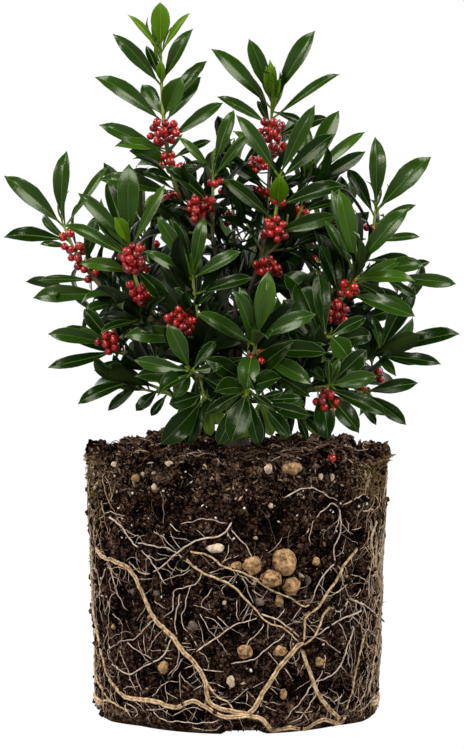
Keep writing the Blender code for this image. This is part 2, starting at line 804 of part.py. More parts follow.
def foliage(collection, helpers, limbs, materials):
    """Every mass of foliage, each fused into one body that keeps clear of the others and of the limbs."""
    taken = [taken_by("limbs", "limb", limb.data.copy()) for limb in limbs]
    parts = {}
    stems = {}
    for mass in BOUGH_RINGS:
        parts[mass], found = stems_of_mass(mass)
        stems.update(found)
        for mesh in parts[mass]:
            tag(mesh, TWIG_SLOT)
            taken.append(taken_by(mass, "stem", mesh.copy()))

    def add_leaf(mass, choices):
        """Adds the first choice of the leaf whose space is free, if there is one."""
        for leaf in choices:
            space = taken_by(mass, "leaf", leaf_mesh(leaf, LEAF_SPARE))
            blade, _ = tree_of(leaf_mesh(leaf, LEAF_SPARE, BLADE_START))
            if not clashes(space, blade, taken):
                taken.append(space)
                parts[mass].append(tag(leaf_mesh(leaf), LEAF_SLOT))
                return

    for name, stem in stems.items():
        mass = SHOOTS[name].mass
        for centre in shoot_berries(name, SHOOTS[name], stem):
            space = taken_by(mass, "berry", berry_mesh(centre, LEAF_SPARE))
            if not clashes(space, None, taken):
                taken.append(space)
                parts[mass].append(tag(berry_mesh(centre), BERRY_SLOT))
    leaves = {name: shoot_leaves(name, SHOOTS[name], stem) for name, stem in stems.items()}
    for name, (seen, _) in leaves.items():
        for choices in seen:
            add_leaf(SHOOTS[name].mass, choices)
    for name, (_, hidden) in leaves.items():
        for choices in hidden:
            add_leaf(SHOOTS[name].mass, choices)

    for mass, meshes in parts.items():
        for mesh in meshes:
            for material in materials:
                mesh.materials.append(material)
        piece = new_object(mass, meshes[0], collection)
        fuse(piece, meshes[1:], helpers)


def main():
    clear_scene()
    plant = new_collection("needlepoint_holly")
    helpers = new_collection("helpers")
    soil = plain_material("soil", (0.045, 0.030, 0.020), 0.95)
    bark = plain_material("bark", (0.16, 0.13, 0.09), 0.80)
    leaf = plain_material("leaf", (0.025, 0.085, 0.020), 0.35)
    berry = plain_material("berry", (0.60, 0.01, 0.01), 0.22)
    twig = plain_material("twig", (0.17, 0.20, 0.06), 0.60)

    limbs = [root_ball(plant, helpers, soil), trunk(plant, bark)]
    limbs += [bough(mass, plant, bark) for mass in BOUGH_RINGS]
    foliage(plant, helpers, limbs, (leaf, berry, twig))


main()
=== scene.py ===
"""The looks of a needlepoint holly on its bare, root-bound root ball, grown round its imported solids.

Metres, +Z up. The origin is the centre of the root ball's flat underside, and -Y is the front.
"""

import math
import random
from typing import NamedTuple

import bmesh
import bpy
import numpy as np
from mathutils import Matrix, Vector, noise


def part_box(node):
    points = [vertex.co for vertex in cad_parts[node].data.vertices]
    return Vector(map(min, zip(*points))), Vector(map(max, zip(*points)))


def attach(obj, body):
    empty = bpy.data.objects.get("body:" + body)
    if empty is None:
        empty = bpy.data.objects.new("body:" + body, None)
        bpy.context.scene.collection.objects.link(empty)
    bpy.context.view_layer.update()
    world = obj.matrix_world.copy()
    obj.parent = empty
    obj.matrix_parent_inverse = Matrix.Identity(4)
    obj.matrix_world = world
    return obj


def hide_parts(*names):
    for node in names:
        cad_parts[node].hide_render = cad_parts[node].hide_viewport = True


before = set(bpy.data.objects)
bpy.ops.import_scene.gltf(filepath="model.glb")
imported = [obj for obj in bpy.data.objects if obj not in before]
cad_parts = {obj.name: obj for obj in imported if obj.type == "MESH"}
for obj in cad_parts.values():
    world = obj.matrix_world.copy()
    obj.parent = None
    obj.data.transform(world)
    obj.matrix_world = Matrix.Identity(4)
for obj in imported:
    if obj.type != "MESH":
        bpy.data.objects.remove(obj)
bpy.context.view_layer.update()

MM = 0.001
UP = Vector((0.0, 0.0, 1.0))
FRONT = Vector((0.0, -1.0, 0.0))
GOLDEN_TURN = math.radians(137.5)
GAP = 0.3 * MM

# The camera that saw the plant, in pixels of the photograph
CAMERA_PLACE = (-0.0046, -4.0, 0.72)
CAMERA_PITCH = 5.77
PHOTO_WIDTH = 464
PHOTO_HEIGHT = 749
FOCAL_PIXELS = 4348
SENSOR = 36.0

# Root ball, shaped by the pot that it grew in
BALL_HEIGHT = 0.250
BALL_TOP_RADIUS = 0.1392
BALL_LOW_RADIUS = 0.1300
FOOT_HEIGHT = 0.010
FOOT_RADIUS = 0.115
FOOT_ROUND = 0.007
FOOT_ROUND_FRONT = 0.017
FRONT_SPAN = (100, 116)
SHARP_SPAN = (50, 66)
SHARP_EDGE = 0.004
NOTCH_WIDTH = 0.037
NOTCH_HEIGHT = 0.0145
NOTCH_REACH = 0.018
NOTCH_BEARINGS = (3, 93, 183, 273)
RIM_DROP = 0.005
RIM_REACH = 0.012
RIM_LUMP = 0.0080
RIM_BAND = 0.018
RIM_OUT = 0.0035
# Soil faces whose tone falls below the first show black, and above the second brown: as the tone follows the relief,
# this is painted shade in the hollows and painted light on the ridges
SHADE_TONE = -0.70
LIT_TONE = 0.75
WALL_SWELL = 0.0022
CLOD_SWELL = 0.0075
SOIL_SLOPE = 0.008
SIDE_DROP = 0.004
SOIL_FLAT = 0.022

# Trunk and boughs
TRUNK_TOP = 0.330
TRUNK_FLARE = 0.0135
FLARE_HEIGHT = 0.012
TRUNK_WAIST = 0.0088
TRUNK_TIP = 0.0078
TRUNK_LEAN = Vector((-0.002, -0.003, 0.0))
RING_HEIGHTS = {"low": 0.272, "middle": 0.292, "high": 0.312}
TOP_BEARINGS = {"crown_left": -110, "crown_right": 110, "back_top": 0}
TOP_OFFSET = 0.0043
BOUGH_START = 0.0033
BOUGH_TIP = 0.0024
BOUGH_LEAD = 0.003
FORK_OUT = 0.45
FORK_RISE = 0.28
FORK_RISE_TOP = 0.45
NECK = 0.009

# Shoots
STEM_TIP = 0.0011
STEM_THICKENING = 0.012
STEM_KNEE = 0.56
LEADER_KNEE = 0.86
STEM_KNOTS = 7
CROWN_FOOT = 0.28
LEAN_LOW = 115
LEAN_PER_RISE = 2.0
LEAN_TOP = 0
LEAN_MOST = 95
WHORL_STEP = 0.030
NODE_STEP = 0.0055
SPREADS = (22, 40, 54, 66, 78)
SPREAD_STEP = 5
FACE_AXIS = 0.35
FACE_UP = 0.45
MOST_TILT = 30
WIDEST_GAP = 92
LEADER_GAP = 140

# Leaves and berries
LEAF_LENGTH = 0.069
LEAF_WIDTH = 0.0170
WIDTH_LOW = 1.16
WIDTH_HIGH = 0.87
LOW_LEAVES = 0.31
HIGH_LEAVES = 0.50
BERRY_RADIUS = 0.0040


class Shoot(NamedTuple):
    """One leafy shoot: its mass, its bud in mm, its leaves' bearings, its clusters of berries as (depth in mm,
    count), which leaves of its first whorl are new growth, and how long those are beside a full leaf."""

    mass: str
    bud: tuple
    whorls: tuple
    clusters: tuple = ()
    young: tuple = ()
    flush: float = 0.72


SHOOTS = {
    "leader_left": Shoot(
        "crown_left", (-70, 10, 615),
        ((-1, -40, 34), (-39, -15, 28), (-53, -18, 38), (-68, 48, -30), (-78, 62, -55)),
        ((76, 20), (99, 9), (120, 5), (136, 4)), (0, 1, 2),
    ),
    "centre_high": Shoot("crown_left", (-22, -10, 506), ((18, -39, 45), (-43, 70)), ((11, 3), (34, 19))),
    "leader_right": Shoot(
        "crown_right", (32, 25, 570), ((-20, -51, 31), (-58, 64, -12), (-72, 55, 12), (-60, 68)),
        ((33, 15), (48, 8), (66, 8), (92, 8)),
    ),
    "upper_front": Shoot(
        "crown_right", (38, -35, 503), ((-36, 28, 178), (-63, 73, 100), (-80, 84)),
        ((24, 3), (47, 13), (62, 4), (85, 14)), (2,), 0.42,
    ),
    "upper_right": Shoot("crown_right", (62, 5, 492), ((25, 49, -8), (63, 86)), ((30, 5),)),
    "far_left": Shoot(
        "left_side", (-151, 0, 457), ((4, -51, -96), (26, -70), (-93, -40)), ((12, 4), (27, 8), (43, 6), (57, 4)),
    ),
    "left_mid": Shoot(
        "left_side", (-98, -55, 442), ((0, -45, 34), (-64, -12, 60), (-84, 80)), ((20, 20), (38, 7), (53, 4)),
    ),
    "left_low": Shoot("left_low", (-115, -25, 346), ((-79, -111, -30), (-60, -135, 10)), ((8, 11),)),
    "left_droop": Shoot("left_low", (-96, -35, 314), ((-114, -146, 165), (-95, 147))),
    "centre_left": Shoot("front_left", (-40, -90, 415), ((12, -31, 61), (-62, 94), (-95, 30)), ((42, 20),)),
    "low_left_front": Shoot("front_left", (-42, -135, 333), ((-27, -80, 42), (83, -137, -153), (-110, 120))),
    "centre_front": Shoot("front_low", (18, -130, 362), ((8, -66, 67), (-19, 103, -105)), ((20, 8),)),
    "low_front": Shoot("front_low", (9, -150, 316), ((168, -152, 136), (-164, 110, -112))),
    "right_high": Shoot("right_side", (128, 10, 469), ((4, 48, -34), (86, -60), (95, -80)), ((19, 4),)),
    "right_front": Shoot(
        "right_side", (108, -60, 420), ((-14, 41, 102), (63, 87), (90, -70)), ((20, 8), (38, 15)),
    ),
    "far_right": Shoot("right_low", (142, -20, 339), ((75, 24, 131), (99, 50, 148)), ((20, 3), (40, 3))),
    "right_droop": Shoot("right_low", (115, -35, 303), ((132, 160, 100), (-165, 118))),
    "right_low_front": Shoot("front_right", (83, -110, 316), ((75, 16, -179), (120, -40, 150)), ((13, 13),)),
    "inner_right": Shoot("front_right", (83, -75, 359), ((141, -20, 60), (115, -70))),
    "back_top": Shoot("back_top", (-4, 78, 508), ((), (), ()), ((30, 14), (56, 6))),
    "inner_left": Shoot("back_top", (-38, 48, 428), ((), ())),
    "inner_right_back": Shoot("back_top", (36, 52, 414), ((), ())),
    "back_left_high": Shoot("back_left", (-88, 92, 452), ((), (), ()), ((28, 14), (52, 5))),
    "back_left_low": Shoot("back_left", (-128, 72, 362), ((), ()), ((22, 8),)),
    "back_right_high": Shoot("back_right", (80, 98, 446), ((), (), ()), ((28, 14), (50, 6))),
    "back_right_low": Shoot("back_right", (132, 78, 358), ((), ()), ((24, 7),)),
    "back_high": Shoot("back_low", (4, 138, 402), ((), ()), ((22, 12),)),
    "back_low_left": Shoot("back_low", (-62, 136, 330), ((), ())),
    "back_low_right": Shoot("back_low", (66, 138, 326), ((), ()), ((18, 8),)),
}

BOUGH_RINGS = {
    "crown_left": "top",
    "crown_right": "top",
    "back_top": "top",
    "left_side": "high",
    "front_low": "high",
    "right_side": "high",
    "back_right": "high",
    "front_left": "middle",
    "right_low": "middle",
    "back_left": "middle",
    "left_low": "low",
    "front_right": "low",
    "back_low": "low",
}


# Meshes from arrays


def mesh_of(name, parts):
    """One mesh from parts, each with its points, its faces as rows of 3 or 4 indices, and its faces' slots."""
    points = np.concatenate([part[0] for part in parts])
    loops, counts, slots, start = [], [], [], 0
    for corners, faces, kinds in parts:
        loops.append((faces + start).ravel())
        counts.append(np.full(len(faces), faces.shape[1]))
        slots.append(np.broadcast_to(kinds, len(faces)))
        start += len(corners)
    loops, counts, slots = np.concatenate(loops), np.concatenate(counts), np.concatenate(slots)
    mesh = bpy.data.meshes.new(name)
    mesh.vertices.add(len(points))
    mesh.vertices.foreach_set("co", points.astype(np.float32).ravel())
    mesh.loops.add(len(loops))
    mesh.loops.foreach_set("vertex_index", loops.astype(np.int32))
    mesh.polygons.add(len(counts))
    mesh.polygons.foreach_set("loop_start", (np.cumsum(counts) - counts).astype(np.int32))
    mesh.polygons.foreach_set("loop_total", counts.astype(np.int32))
    mesh.polygons.foreach_set("material_index", slots.astype(np.int32))
    mesh.update(calc_edges=True)
    mesh.validate()
    mesh.shade_smooth()
    return mesh


def add_piece(name, parts, materials, stands_for=()):
    """A piece of the plant from parts, riding on its one body."""
    mesh = mesh_of(name, parts)
    piece = bpy.data.objects.new(name, mesh)
    bpy.context.scene.collection.objects.link(piece)
    for material in materials:
        mesh.materials.append(material)
    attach(piece, "root")
    if stands_for:
        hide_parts(*stands_for)
    return piece


def tube(points, radii, sides, kinds=0, caps=True):
    """A closed tube along the points, as one part."""
    points = np.asarray(points, float)
    radii = np.asarray(radii, float)
    ways = np.gradient(points, axis=0)
    ways /= np.linalg.norm(ways, axis=1, keepdims=True) + 1e-12
    side = np.cross(ways[0], (0.31, 0.17, 0.93))
    if np.linalg.norm(side) < 0.1:
        side = np.cross(ways[0], (1.0, 0.0, 0.0))
    sides_at = []
    for way in ways:
        side = side - way * side.dot(way)
        side /= np.linalg.norm(side) + 1e-12
        sides_at.append(side)
    side = np.array(sides_at)
    other = np.cross(ways, side)
    turn = np.arange(sides) * math.tau / sides
    ring = side[:, None] * np.cos(turn)[None, :, None] + other[:, None] * np.sin(turn)[None, :, None]
    corners = (points[:, None] + ring * radii[:, None, None]).reshape(-1, 3)
    row = np.arange(len(points) - 1)[:, None] * sides
    column = np.arange(sides)[None, :]
    after = (column + 1) % sides
    faces = np.stack([row + column, row + after, row + after + sides, row + column + sides], axis=-1).reshape(-1, 4)
    kinds = np.repeat(np.broadcast_to(kinds, len(points) - 1), sides)
    if caps:
        ends = np.array([points[0], points[-1]])
        first, last = len(corners), len(corners) + 1
        corners = np.concatenate([corners, ends])
        half = np.arange(0, sides, 2)
        base = (len(points) - 1) * sides
        low = np.stack([np.full(len(half), first), (half + 2) % sides, (half + 1) % sides, half], axis=-1)
        high = np.stack([np.full(len(half), last), base + half, base + (half + 1) % sides, base + (half + 2) % sides], -1)
        faces = np.concatenate([faces, low, high])
        kinds = np.concatenate([kinds, np.full(len(half), kinds[0]), np.full(len(half), kinds[-1])])
    return corners, faces, kinds


def ball(subdivisions):
    """A round template: the points and triangles of an icosphere of radius 1."""
    form = bmesh.new()
    bmesh.ops.create_icosphere(form, subdivisions=subdivisions, radius=1.0)
    form.verts.ensure_lookup_table()
    points = np.array([vertex.co for vertex in form.verts])
    faces = np.array([[vertex.index for vertex in face.verts] for face in form.faces])
    form.free()
    return points, faces


def turns_of(chance, count):
    """Random rotation matrices."""
    q = chance.normal(size=(count, 4))
    q /= np.linalg.norm(q, axis=1, keepdims=True)
    w, x, y, z = q.T
    return np.array([
        [1 - 2 * (y * y + z * z), 2 * (x * y - z * w), 2 * (x * z + y * w)],
        [2 * (x * y + z * w), 1 - 2 * (x * x + z * z), 2 * (y * z - x * w)],
        [2 * (x * z - y * w), 2 * (y * z + x * w), 1 - 2 * (x * x + y * y)],
    ]).transpose(2, 0, 1)


def scatter(chance, centres, sizes, template, roughness, kinds):
    """Lumps of one template at the centres: each turned, squeezed and made uneven, as one part."""
    points, faces = template
    count = len(centres)
    forms = np.repeat(points[None], count, axis=0)
    forms = forms * (1 + roughness * chance.normal(size=(count, len(points), 1)))
    forms = forms * chance.uniform(0.65, 1.15, size=(count, 1, 3))
    forms = np.einsum("nij,nkj->nki", turns_of(chance, count), forms) * np.asarray(sizes)[:, None, None]
    forms = forms + np.asarray(centres)[:, None]
    starts = np.arange(count)[:, None, None] * len(points)
    return forms.reshape(-1, 3), (faces[None] + starts).reshape(-1, faces.shape[1]), np.repeat(kinds, len(faces))


def smooth_route(route, steps):
    """Points along a smooth curve through the route's points, any number of values each."""
    route = np.asarray(route, float)
    padded = np.concatenate([[2 * route[0] - route[1]], route, [2 * route[-1] - route[-2]]])
    found = []
    for a, b, c, d in zip(padded, padded[1:], padded[2:], padded[3:]):
        for step in range(steps):
            t = step / steps
            found.append(0.5 * (2 * b + (c - a) * t + (2 * a - 5 * b + 4 * c - d) * t**2 + (3 * b - a - 3 * c + d) * t**3))
    found.append(route[-1])
    return np.array(found)


# Materials


def new_material(name, colour, roughness, specular=0.5):
    material = bpy.data.materials.new(name)
    material.use_nodes = True
    shader = material.node_tree.nodes["Principled BSDF"]
    shader.inputs["Base Color"].default_value = (*colour, 1.0)
    shader.inputs["Roughness"].default_value = roughness
    shader.inputs["Specular IOR Level"].default_value = specular
    return material, material.node_tree, shader


def noise_node(tree, scale, detail=3.0, roughness=0.5):
    coordinates = tree.nodes.new("ShaderNodeTexCoord")
    texture = tree.nodes.new("ShaderNodeTexNoise")
    texture.inputs["Scale"].default_value = scale
    texture.inputs["Detail"].default_value = detail
    texture.inputs["Roughness"].default_value = roughness
    tree.links.new(coordinates.outputs["Object"], texture.inputs["Vector"])
    return texture.outputs["Fac"]


def mix_colours(tree, shader, factor, dark, light, low=0.35, high=0.65):
    """The base colour runs from dark to light by the factor."""
    ramp = tree.nodes.new("ShaderNodeValToRGB")
    ramp.color_ramp.elements[0].position = low
    ramp.color_ramp.elements[0].color = (*dark, 1.0)
    ramp.color_ramp.elements[1].position = high
    ramp.color_ramp.elements[1].color = (*light, 1.0)
    tree.links.new(factor, ramp.inputs["Fac"])
    tree.links.new(ramp.outputs["Color"], shader.inputs["Base Color"])


def add_bump(tree, shader, height, strength, distance):
    bump = tree.nodes.new("ShaderNodeBump")
    bump.inputs["Strength"].default_value = strength
    bump.inputs["Distance"].default_value = distance
    tree.links.new(height, bump.inputs["Height"])
    tree.links.new(bump.outputs["Normal"], shader.inputs["Normal"])


def leaf_material(name, colour, roughness=0.28, specular=0.36):
    """Waxy leaf: a plain colour with a broad sheen and a fine leathery relief."""
    material, tree, shader = new_material(name, colour, roughness, specular)
    shader.inputs["Specular Tint"].default_value = (0.97, 1.0, 0.76, 1.0)
    add_bump(tree, shader, noise_node(tree, 420.0, 2.0), 0.25, 0.0006)
    return material


def earth_material(name, dark, light, scale, roughness=0.95, strength=0.6):
    """Grainy soil, stone, root or bark: two tones dealt by noise, with a rough relief."""
    material, tree, shader = new_material(name, light, roughness, 0.25)
    grain = noise_node(tree, scale, 6.0, 0.65)
    mix_colours(tree, shader, grain, dark, light)
    add_bump(tree, shader, noise_node(tree, scale * 3, 4.0, 0.7), strength, 0.001)
    return material


def crumb_and_gap_shade(tree, scale):
    """Crumbs, each with its own tone and a dark gap round it: the gap is painted shade between the crumbs, and the same
    values give their relief.
    """
    coordinates = tree.nodes.new("ShaderNodeTexCoord")
    cells = tree.nodes.new("ShaderNodeTexVoronoi")
    cells.inputs["Scale"].default_value = scale
    tree.links.new(coordinates.outputs["Object"], cells.inputs["Vector"])
    middle = tree.nodes.new("ShaderNodeMapRange")
    for name, value in (("From Min", 0.25), ("From Max", 0.65), ("To Min", 1.0), ("To Max", 0.0)):
        middle.inputs[name].default_value = value
    tree.links.new(cells.outputs["Distance"], middle.inputs["Value"])
    tone = tree.nodes.new("ShaderNodeMath")
    tone.operation = "MULTIPLY"
    tree.links.new(middle.outputs["Result"], tone.inputs[0])
    tree.links.new(cells.outputs["Color"], tone.inputs[1])
    return tone.outputs["Value"]


def soil_material(name, dark, light, scale):
    """Crumbly soil: large and small crumbs, and a fine grain; each crumb keeps its own tone, darkened where the relief
    is low as painted shade in the hollows between them.
    """
    material, tree, shader = new_material(name, light, 1.0, 0.0)
    height = crumb_and_gap_shade(tree, scale)
    for finer, share in ((crumb_and_gap_shade(tree, scale * 2.6), 0.8), (noise_node(tree, scale * 3.2, 4.0, 0.7), 0.6)):
        add = tree.nodes.new("ShaderNodeMath")
        add.operation = "MULTIPLY_ADD"
        add.inputs[1].default_value = share
        tree.links.new(finer, add.inputs[0])
        tree.links.new(height, add.inputs[2])
        height = add.outputs["Value"]
    mix_colours(tree, shader, height, dark, light, 0.42, 1.25)
    add_bump(tree, shader, height, 1.0, 0.0014)
    return material


# Growth, by the rule of the plant's solids


def bend(start, knee, end, count):
    steps = [i / (count - 1) for i in range(count)]
    return [start * (1 - t) ** 2 + knee * (2 * t * (1 - t)) + end * t**2 for t in steps]


def trunk_centre(height):
    return TRUNK_LEAN * ((height - BALL_HEIGHT) / (TRUNK_TOP - BALL_HEIGHT)) + UP * height


def trunk_radius(height):
    share = (height - BALL_HEIGHT - FLARE_HEIGHT) / (TRUNK_TOP - BALL_HEIGHT - FLARE_HEIGHT)
    return TRUNK_WAIST + (TRUNK_TIP - TRUNK_WAIST) * share


def mass_middle(mass):
    buds = [Vector(shoot.bud) * MM for shoot in SHOOTS.values() if shoot.mass == mass]
    return sum(buds, Vector()) / len(buds)


def bough_route(mass):
    """Points along the bough that carries a mass, from the trunk to the mass."""
    middle = mass_middle(mass)
    out = Vector((middle.x, middle.y, 0.0)).normalized()
    ring = BOUGH_RINGS[mass]
    if ring == "top":
        turn = math.radians(TOP_BEARINGS[mass])
        start = trunk_centre(TRUNK_TOP) + UP * GAP + Vector((math.sin(turn), math.cos(turn), 0.0)) * TOP_OFFSET
        way, rise = UP, FORK_RISE_TOP
    else:
        start = trunk_centre(RING_HEIGHTS[ring])
        start += out * (trunk_radius(start.z) + GAP)
        way, rise = out, FORK_RISE
    fork = Vector((middle.x * FORK_OUT, middle.y * FORK_OUT, start.z + (middle.z - start.z) * rise))
    bent = bend(start + way * BOUGH_LEAD, start + way * (fork - start).length * 0.45, fork, 4)
    return [start, *bent]


class Stem(NamedTuple):
    """A shoot's stem, from the mass's foot to the bud."""

    points: list
    axis: Vector

    def below(self, distance):
        """The place this far below the bud, or None past the stem's foot, and the stem's way there."""
        for upper, lower in zip(reversed(self.points), reversed(self.points[:-1])):
            span = (upper - lower).length
            if distance <= span:
                return upper.lerp(lower, distance / span), (upper - lower).normalized()
            distance -= span
        return None


class Leaf(NamedTuple):
    root: Vector
    way: Vector
    face: Vector
    length: float
    kind: int
    breadth: float = 0.93


def shoot_axis(bud):
    """The way a shoot points at its bud: upright high in the crown, and leaning out and down lower."""
    out = Vector((bud.x, bud.y, 0.0))
    rise = math.degrees(math.atan2(bud.z - CROWN_FOOT, out.length))
    lean = math.radians(min(max(LEAN_LOW - LEAN_PER_RISE * rise, LEAN_TOP), LEAN_MOST))
    return out.normalized() * math.sin(lean) + UP * math.cos(lean)


def mass_neck(mass):
    """The mass's foot, just clear of its bough's tip, and the place where its shoots part."""
    points = bough_route(mass)
    way = (points[-1] - points[-2]).normalized()
    return points[-1] + way * GAP, points[-1] + way * NECK


def is_leader(shoot):
    return len(shoot.young) > 1


def shoot_stem(name, shoot):
    bud = Vector(SEEN_BUDS.get(name, shoot.bud)) * MM
    axis = shoot_axis(bud)
    _, foot = mass_neck(shoot.mass)
    knee = bud - axis * (bud - foot).length * (LEADER_KNEE if is_leader(shoot) else STEM_KNEE)
    return Stem(bend(foot, knee, bud, STEM_KNOTS), axis)


def seen_way(axis, bearing, spread, behind):
    """The way of a leaf that shows this bearing from the front and stands off the axis by the spread."""
    flat = Vector((math.sin(math.radians(bearing)), 0.0, math.cos(math.radians(bearing))))
    along = flat.dot(axis)
    towards = FRONT.dot(axis)
    middle = math.atan2(towards, along)
    swing = math.acos(min(1.0, math.cos(math.radians(spread)) / max(math.hypot(along, towards), 1e-6)))
    most = math.radians(MOST_TILT)
    side = -1 if behind else 1
    tilt = min(max(middle + side * swing, -most), most)
    return flat * math.cos(tilt) + FRONT * math.sin(tilt)


def side_frame(axis):
    side = axis.cross(Vector((0.3, 1.0, 0.2))).normalized()
    return side, axis.cross(side)


def turn_of(axis, way):
    side, other = side_frame(axis)
    return math.atan2(way.dot(other), way.dot(side)) % math.tau


def way_at(axis, turn, spread):
    side, other = side_frame(axis)
    out = side * math.cos(turn) + other * math.sin(turn)
    return axis * math.cos(math.radians(spread)) + out * math.sin(math.radians(spread))


def fill_turns(turns, start, widest):
    """Turns for more leaves, put in the middle of each gap that is still wider than the widest."""
    taken = sorted(turns) or [start]
    added = [] if turns else [start]
    while True:
        gaps = [((b - a) % math.tau or math.tau, a) for a, b in zip(taken, taken[1:] + taken[:1])]
        gap, after = max(gaps)
        if gap <= widest:
            return added
        added.append((after + gap / 2) % math.tau)
        taken = sorted([*taken, added[-1]])


def leaf_at(stem, depth, way, length, light, kind):
    node, axis = stem.below(depth)
    upper = axis * FACE_AXIS + UP * FACE_UP + light
    face = (upper - way * upper.dot(way)).normalized()
    return Leaf(node, way, face, length, kind)


# The crown's half width by height, in mm
CROWN_HEIGHTS = (260, 300, 350, 440, 480, 530, 600, 660)
CROWN_WIDTHS = (110, 165, 200, 200, 180, 115, 75, 40)
# Leaves whose middle lies inside this share of the crown's half width take the darkest green as painted shade; below
# this height in mm they take one tone darker as painted shade
DEEP_SHADE_SHARE = 0.62
SHADED_BELOW = 350


def shaded(leaf, shown=False):
    """The leaf in a darker green low on the plant, and in the darkest where it hangs deep inside the crown: painted
    shade in both, as less light reaches there.
    """
    if leaf.kind == YOUNG:
        return leaf
    middle = (leaf.root + leaf.way * leaf.length * 0.6) / MM
    if not shown and middle.xy.length < DEEP_SHADE_SHARE * np.interp(middle.z, CROWN_HEIGHTS, CROWN_WIDTHS):
        return leaf._replace(kind=DEEP_SHADE)
    return leaf._replace(kind=max(DARK, leaf.kind - 1)) if middle.z < SHADED_BELOW else leaf


# DARK, MIDDLE and LIGHT are the leaves' own tones where dealt at random; stepped darker low on the plant, or given to
# the shown leaves by how they look lit or shaded, they are also painted shade and painted light
DARK, MIDDLE, LIGHT, YOUNG, MARGIN_SLOT, MIDRIB_SLOT, UNDER_SHADE_SLOT, YOUNG_MIDRIB, YOUNG_UNDER, DEEP_SHADE = range(10)
KIND_SHARES = (DARK, DARK, MIDDLE, MIDDLE, MIDDLE, LIGHT)


def shoot_leaves(name, shoot, stem, keeps):
    """The shoot's leaves: the whorls that show, the leaves that fill their other side, and more between and below.

    keeps says whether a leaf that isn't one of the shown ones may stay.
    """
    chance = random.Random(name)
    finer = random.Random(name + "_finer")
    outward = Vector((stem.points[-1].x, stem.points[-1].y, 0.0)).normalized()
    leaves = []
    for row, bearings in enumerate(shoot.whorls):
        spread = SPREADS[row]
        if stem.below(row * WHORL_STEP) is None:
            break
        axis = stem.below(row * WHORL_STEP)[1]
        own = math.degrees(math.atan2(axis.x, axis.z))
        whorl = []
        turns = []
        for index, bearing in enumerate(bearings):
            behind = abs((bearing - own + 180) % 360 - 180) < 30 or index % 2 == 1
            way = seen_way(axis, bearing, spread + index * SPREAD_STEP, behind)
            whorl.append((FRONT, way))
            turns.append(turn_of(axis, way))
        widest = math.radians(LEADER_GAP if shoot.young else WIDEST_GAP)
        short = TIP_SHORT if row == 0 and stem.points[-1].z > HIGH_BUD else 1.0
        for turn in fill_turns(turns, row * GOLDEN_TURN + chance.random(), widest):
            off = spread * chance.uniform(1.1, 1.4)
            turn += chance.uniform(-0.2, 0.2)
            turns.append(turn)
            whorl.append((outward, way_at(axis, turn, off)))
        for index, (light, way) in enumerate(whorl):
            young = row == 0 and (index in shoot.young or is_leader(shoot))
            length = LEAF_LENGTH * (shoot.flush if young else 1.0) * chance.uniform(0.94, 1.06)
            depth = row * WHORL_STEP + index * NODE_STEP
            filling = index >= len(bearings)
            if young and not is_leader(shoot):
                depth += length
                way = -way
            if stem.below(depth):
                kind = YOUNG if young or (filling and short < 1) else finer.choice(KIND_SHARES)
                leaf = leaf_at(stem, depth, way, length * (short if filling else 1.0), light, kind)
                if young:
                    leaf = leaf._replace(breadth=YOUNG_BREADTHS[min(index, 3) if is_leader(shoot) else 4])
                if keeps(leaf) if filling else name not in SEEN_LEAVES:
                    leaves.append(lifted(shaded(leaf, not filling)))
    for depth, *seen in SEEN_LEAVES.get(name, ()):
        if stem.below(depth * MM):
            leaves.append(shaded(seen_leaf(stem, depth, *seen), True))
    if name in SEEN_TWIGS:
        leaves += seen_twig(name, stem)[1]
    more = finer_leaves(name, shoot, stem, finer, outward)
    return leaves + [lifted(shaded(leaf)) for leaf in more if keeps(leaf)]


YOUNG_BREADTHS = (1.45, 0.85, 0.85, 1.0, 2.1)
TIP_LEAVES = 5
TIP_SHORT = 0.62
HIGH_BUD = 0.55
GREEN_TIPS = 0.41
TIP_LENGTH = 0.021
MORE_PER_ROW = 4
LOW_BUD = 0.370
TWIG_LEAVES = 8
